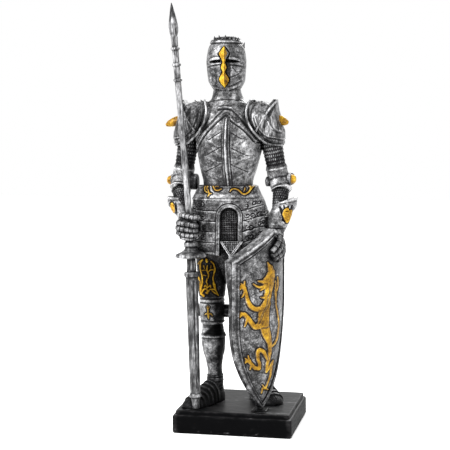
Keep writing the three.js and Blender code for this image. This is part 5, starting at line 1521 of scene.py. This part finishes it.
def makeShield():
    s = shield
    rows, cells = 312, 156
    rise = 1 - (1 - np.linspace(0, 1, rows)) ** 1.2
    share = np.linspace(-1, 1, cells)
    half = s["width"] / 2
    top = shieldTop(share * half)
    height = rise[:, None] * top[None]
    limit = np.maximum(1.2, shieldHalf(np.minimum(height, s["straight"])))
    across = share[None] * np.minimum(limit, half)
    # distance from the outline, for the rim
    side = limit - np.abs(across)
    slope = math.hypot(1, (s["peak"] - s["corner"]) / half)
    above = (top[None] - height) / slope
    edge = np.minimum(side, above)
    front = shieldPoint(across, height, 0 * across)
    right, down = onDrawing(front)
    gap = strokeGap(right, down, lion) * 0.66
    cut = ridge(strokeGap(right, down, lionLines), 0.5)
    field = ease(s["rim"] - 0.25, s["rim"] + 0.25, edge)
    lift = -s["rimRise"] * field
    lift -= 0.5 * ridge(edge - s["rim"] - 0.5, 0.7)
    lift += 0.3 * ridge(edge - 0.9, 1.1) + 0.3 * ridge(edge - s["rim"] + 0.6, 0.6)
    lift -= 0.3 * ridge(edge - 2.4, 0.6)
    grainy = noise(front, 0.9, 2)
    lift += field * (0.35 * grainy + 0.35 * noise(front, 3)) + (1 - field) * 0.22 * noise(front, 1.2, 2)
    beast = 1 - ease(-0.12, 0.2, gap)
    body = s["lionRise"] * (0.55 + 0.45 * np.clip(-gap / 1.6, 0,
                                                  1)) - s["rimRise"] + 0.15 * grainy - 0.4 * cut
    lift = np.where(gap < 0.2, (lift * 0.3 - 0.7 * s["rimRise"]) * (1 - beast) + beast * body, lift)
    lift -= 0.45 * ridge(gap - 0.6, 0.5) * field
    face = shieldPoint(across, height, -lift)
    depth = shieldDepth(height)
    sparse = np.unique(np.append(np.arange(0, cells, 6), cells - 1))
    rear = shieldPoint(across, height, depth + 0.25 * noise(front + 50, 3))
    gilt = beast * (gap < 0.2) * (1 - 0.7 * cut)
    wear = 0.6 * ease(-0.05, 0.35, noise(front + 9, 1.5, 2)) * ridge(edge - 2.8, 0.9) * (1 - field)
    bare = np.maximum(0.8 * ridge(gap - 0.6, 0.45) * field * (gap > 0.1),
                      0.6 * ridge(edge - s["rim"] - 0.3, 0.5))
    bare = np.maximum(bare, wear)
    wash = -0.01 + 0.07 * (1 - field) * (1 - ease(1.4, 2.2, edge)) + 0.07 * noise(front, 7) + 0.02 * field
    wash = wash + 0.16 * (1 - ease(0.9, 1.7, above)) - 0.05 * (1 - field) * ease(1.7, 2.3, above)
    # the thickness of the rim, a few columns at either side
    share = np.linspace(0, 1, 12)[1:-1][None]
    turn = math.radians(s["turn"])
    outwards = np.array([math.cos(turn), math.sin(turn), 0])

    def sideWall(column):
        a, h, deep = (values[:, column:column + 1] for values in (across, height, depth))
        wall = shieldPoint(a + 0 * share, h + 0 * share, deep * share)
        return wall + 0.3 * (noise(wall, 1.2, 2) - 0.3)[..., None] * np.sign(a)[..., None] * outwards

    walls = [sideWall(cells - 1), sideWall(0)[:, ::-1]]
    whole = np.concatenate([face, walls[0], rear[:, sparse[::-1]], walls[1]], axis=1)
    flecks = [np.clip(0.4 + 0.6 * ease(-0.1, 0.25, noise(wall * (1, 1, 0.5), 2.4, 2))
                      * (1 - 0.4 * ease(20, 60, wall[..., 2])), 0, 1) for wall in walls]
    none = np.zeros((rows, len(sparse)))

    def paint(values, sides):
        return np.concatenate([values, sides[0], none, sides[1]], axis=1)

    plain = [0 * flecks[0], 0 * flecks[1]]
    body = Skin(whole, gilt=paint(gilt, plain), bare=paint(bare, flecks), wash=paint(wash, plain),
                ends=(True, False), size=0.7)
    return body, face, rear


def makeShieldSkins():
    body, face, rear = makeShield()
    # top edge, strip by strip between the face and the back
    depth = np.linspace(0, 1, 22)[:, None, None]
    strip = face[-1][None] * (1 - depth) + rear[-1][None] * depth
    strip = strip + (0, 0, 1) * (0.25 * noise(strip, 1.3, 2))[..., None] * (depth * (1 - depth) * 4)
    return [body, Skin(strip, closed=False, ends=(False, False), bare=0.12, wash=0.1)]


# Plinth: two tiers with soft uneven edges, and the small block under the shield's tip
plinth = {
    "width": 85.0, "depth": 79.0, "lower": 13.2, "upper": 3.0, "ledge": 1.65, "edge": 0.9, "corner": 1.6,
    "block": (11.0, 12.0), "columns": 520,
}


def roundedSquare(width, depth, corner, columns):
    u = np.linspace(0, 1, columns, endpoint=False)
    x, y = width / 2 - corner, depth / 2 - corner
    # walk round the straight sides at an even pace
    length = 2 * (2 * x + 2 * y)
    at = u * length
    corners = np.array([(-x, y), (-x, -y), (x, -y), (x, y), (-x, y)])
    run = np.array([0, 2 * y, 2 * y + 2 * x, 4 * y + 2 * x, length])
    px, py = np.interp(at, run, corners[:, 0]), np.interp(at, run, corners[:, 1])

    def towards(v, limit):
        turned = np.sign(v) * ease(limit - corner * 1.2, limit, np.abs(v))
        return np.where(np.abs(v) >= limit - 1e-6, np.sign(v), turned)

    direction = unitRows(np.column_stack([towards(px, x), towards(py, y)]))
    return np.column_stack([px, py]) + corner * direction, direction


def makePlinth():
    s = plinth
    top = s["lower"] + s["upper"]
    ring, outwardRing = roundedSquare(s["width"], s["depth"], s["corner"], s["columns"])
    e, l = s["edge"], s["ledge"]
    # height and inset of the profile
    profile = np.array([(0.0, 1.2), (0.3, 0.5), (1.0, 0.0), (s["lower"] - e, 0.0), (s["lower"] - 0.25, 0.28),
                        (s["lower"], 0.95), (s["lower"] + 0.05, l), (s["lower"] + 0.4, l + 0.1),
                        (top - 0.7, l + 0.1), (top - 0.18, l + 0.35), (top, l + 1.0), (top, 14), (top, 26),
                        (top, 38)])
    length = np.concatenate([[0], np.cumsum(np.hypot(*np.diff(profile, axis=0).T))])
    at = np.concatenate([np.linspace(0, length[10], 110), np.linspace(length[10], length[-1], 70)[1:]])
    z, inset = np.interp(at, length, profile[:, 0]), np.interp(at, length, profile[:, 1])
    scaleX = 1 - inset / (s["width"] / 2)
    scaleY = 1 - inset / (s["depth"] / 2)
    x, y = ring[None, :, 0], ring[None, :, 1]
    points = fromPlinth(np.stack([x * scaleX[:, None], y * scaleY[:, None], z[:, None] + 0 * x], axis=-1))
    wander = noise(points * (1, 1, 0.6), 7) * 0.5 + noise(points, 2.0) * 0.3
    inwards = np.concatenate([-outwardRing, np.zeros((s["columns"], 1))], axis=1)
    edgeWear = ridge(z - s["lower"] + 0.3, 1.2) + ridge(z - top + 0.3, 1.0) + ridge(z - 0.4, 1.0)
    worn = (0.3 + 0.7 * np.clip(edgeWear, 0, 1)) * (inset < 12)
    points = points + inwards[None] * ((wander + 0.35) * worn[:, None])[..., None]
    sunk = (0.25 - 0.5 * noise(points, 3)) * ((inset > 2) * 0.35)[:, None]
    points[..., 2] -= np.where(z[:, None] > 1, sunk, 0)
    # a painted highlight along the step, on the front faces and brightest towards the figure's right, and a
    # few flecks at the foot
    facing = -outwardRing[None, :, 1]
    step = ridge(z - s["lower"] - 0.1, 0.55)[:, None] * ease(-0.5, 0.2, noise(points + 3, 5, 2))
    step = step * ease(0.3, 0.8, facing) * (0.45 + 0.55 * ease(27, 36, -points[..., 0]))
    flecks = ridge(z - 2.4, 1.4)[:, None] * ease(0.16, 0.3, noise(points * (1, 1, 2) + 8, 3, 2))
    onTop = ((inset > 2.6) & (z > top - 1))[:, None]
    # lighter streaks on the top: brush strokes and a painted sheen
    brushed = ease(0.0, 0.25, noise(points * (0.16, 1, 1) + 17, 2.6)) * onTop
    skins = [Skin(points, size=1.0, wash=0.5 * step + 0.35 * flecks + 0.3 * brushed, grain=0.8)]
    # block under the shield
    tip = shieldPoint(np.array(0.0), np.array(0.0), np.array(shield["thick"] / 2))
    block = roundedSquare(*s["block"], 0.9, 120)[0]
    rows = np.array([(-0.6, 0), (0.7, 0), (1.05, 0.25), (1.2, 0.8), (1.2, 3), (1.2, 5)])
    at = np.linspace(0, 5, 40)
    z, inset = np.interp(at, np.arange(6), rows[:, 0]), np.interp(at, np.arange(6), rows[:, 1])
    share = np.stack([1 - inset / 5.5, 1 - inset / 6.0], axis=1)
    x, y = block[None, :, 0], block[None, :, 1]
    lump = np.stack([tip[0] + x * share[:, :1], tip[1] + y * share[:, 1:], z[:, None] + 0 * x], axis=-1)
    lump[..., 2] -= 0.12 * (0.5 + noise(lump, 1.5))
    skins.append(Skin(lump))
    return skins


# The pieces in the order in which they are made: name, skins, finish, node it stands for
onKnight = [
    ("helm", makeHelm(), antiqueSilver), ("cuirass", makeCuirass(), antiqueSilver),
    ("belt_and_skirt", makeSkirt(), antiqueSilver),
    ("right_pauldron", makePauldron(-1, 0.9, 3.3, -1), streakedSilver),
    ("left_pauldron", makePauldron(1, -0.4, -0.4, 1), streakedSilver),
    ("right_arm", makeArm(rightArm), antiqueSilver), ("left_arm", makeArm(leftArm), antiqueSilver),
    ("right_hand", makeRightHand(), antiqueSilver), ("left_hand", makeLeftHand(), antiqueSilver),
    ("right_leg", makeLeg(rightLeg), antiqueSilver), ("left_leg", makeLeg(leftLeg), antiqueSilver),
    ("right_sabaton", makeSabaton(rightLeg), antiqueSilver),
    ("left_sabaton", makeSabaton(leftLeg), antiqueSilver),
]
for name, skins, finish in onKnight:
    makePiece(name, skins, finish, "knight")
makePiece("lance", makeLance(), streakedSilver, "lance")
makePiece("shield", makeShieldSkins(), antiqueSilver, "shield")
makePiece("plinth", makePlinth(), blackResin, "plinth")


# Camera and light
def setCamera():
    s = camera
    around = math.radians(s["round"])
    data = bpy.data.cameras.new("camera")
    data.lens, data.sensor_width, data.clip_start, data.clip_end = s["lens"], 36.0, 0.05, 20.0
    eye = bpy.data.objects.new("camera", data)
    bpy.context.scene.collection.objects.link(eye)
    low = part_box("plinth")[0].z
    eye.location = (math.sin(around) * s["far"] * unit, -math.cos(around) * s["far"] * unit,
                    low + s["height"] * unit)
    eye.rotation_euler = (math.radians(90 - s["down"]), 0, math.radians(s["round"] + s["aside"]))
    bpy.context.scene.camera = eye


def areaLight(name, place, aim, size, power):
    data = bpy.data.lights.new(name, "AREA")
    data.shape, data.size, data.energy = "DISK", size, power
    lamp = bpy.data.objects.new(name, data)
    bpy.context.scene.collection.objects.link(lamp)
    lamp.location = place
    lamp.rotation_euler = (Vector(aim) - Vector(place)).to_track_quat("-Z", "Y").to_euler()


# Place in metres, width in metres and power in watts of each lamp
studio = {
    "key": ((-1.1, -1.1, 1.1), 0.45, 56), "fill": ((1.2, -0.8, 0.6), 0.6, 12),
    "back": ((0.3, 1.3, 1.0), 0.7, 16),
    "aim": (0, 0, 0.15), "floorReach": 3, "floorColour": (0.97, 0.97, 0.97, 1), "floorRough": 0.8,
}


def setStudio():
    for name in ("key", "fill", "back"):
        place, size, power = studio[name]
        areaLight(name, place, studio["aim"], size, power)
    world = bpy.data.worlds.new("studio")
    bpy.context.scene.world = world
    world.use_nodes = True
    world.node_tree.nodes["Background"].inputs["Color"].default_value = (1, 1, 1, 1)
    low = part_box("plinth")[0].z
    mesh = bpy.data.meshes.new("floor")
    reach = studio["floorReach"]
    corners = [(-reach, -reach, low), (reach, -reach, low), (reach, reach, low), (-reach, reach, low)]
    mesh.from_pydata(corners, [], [(0, 1, 2, 3)])
    floor = bpy.data.objects.new("floor", mesh)
    bpy.context.scene.collection.objects.link(floor)
    material, _, shader = newFinish("pale floor")
    shader.inputs["Base Color"].default_value = studio["floorColour"]
    shader.inputs["Roughness"].default_value = studio["floorRough"]
    mesh.materials.append(material)
    bpy.context.scene.view_settings.view_transform = "Standard"


setCamera()
setStudio()
print("camera and light set")
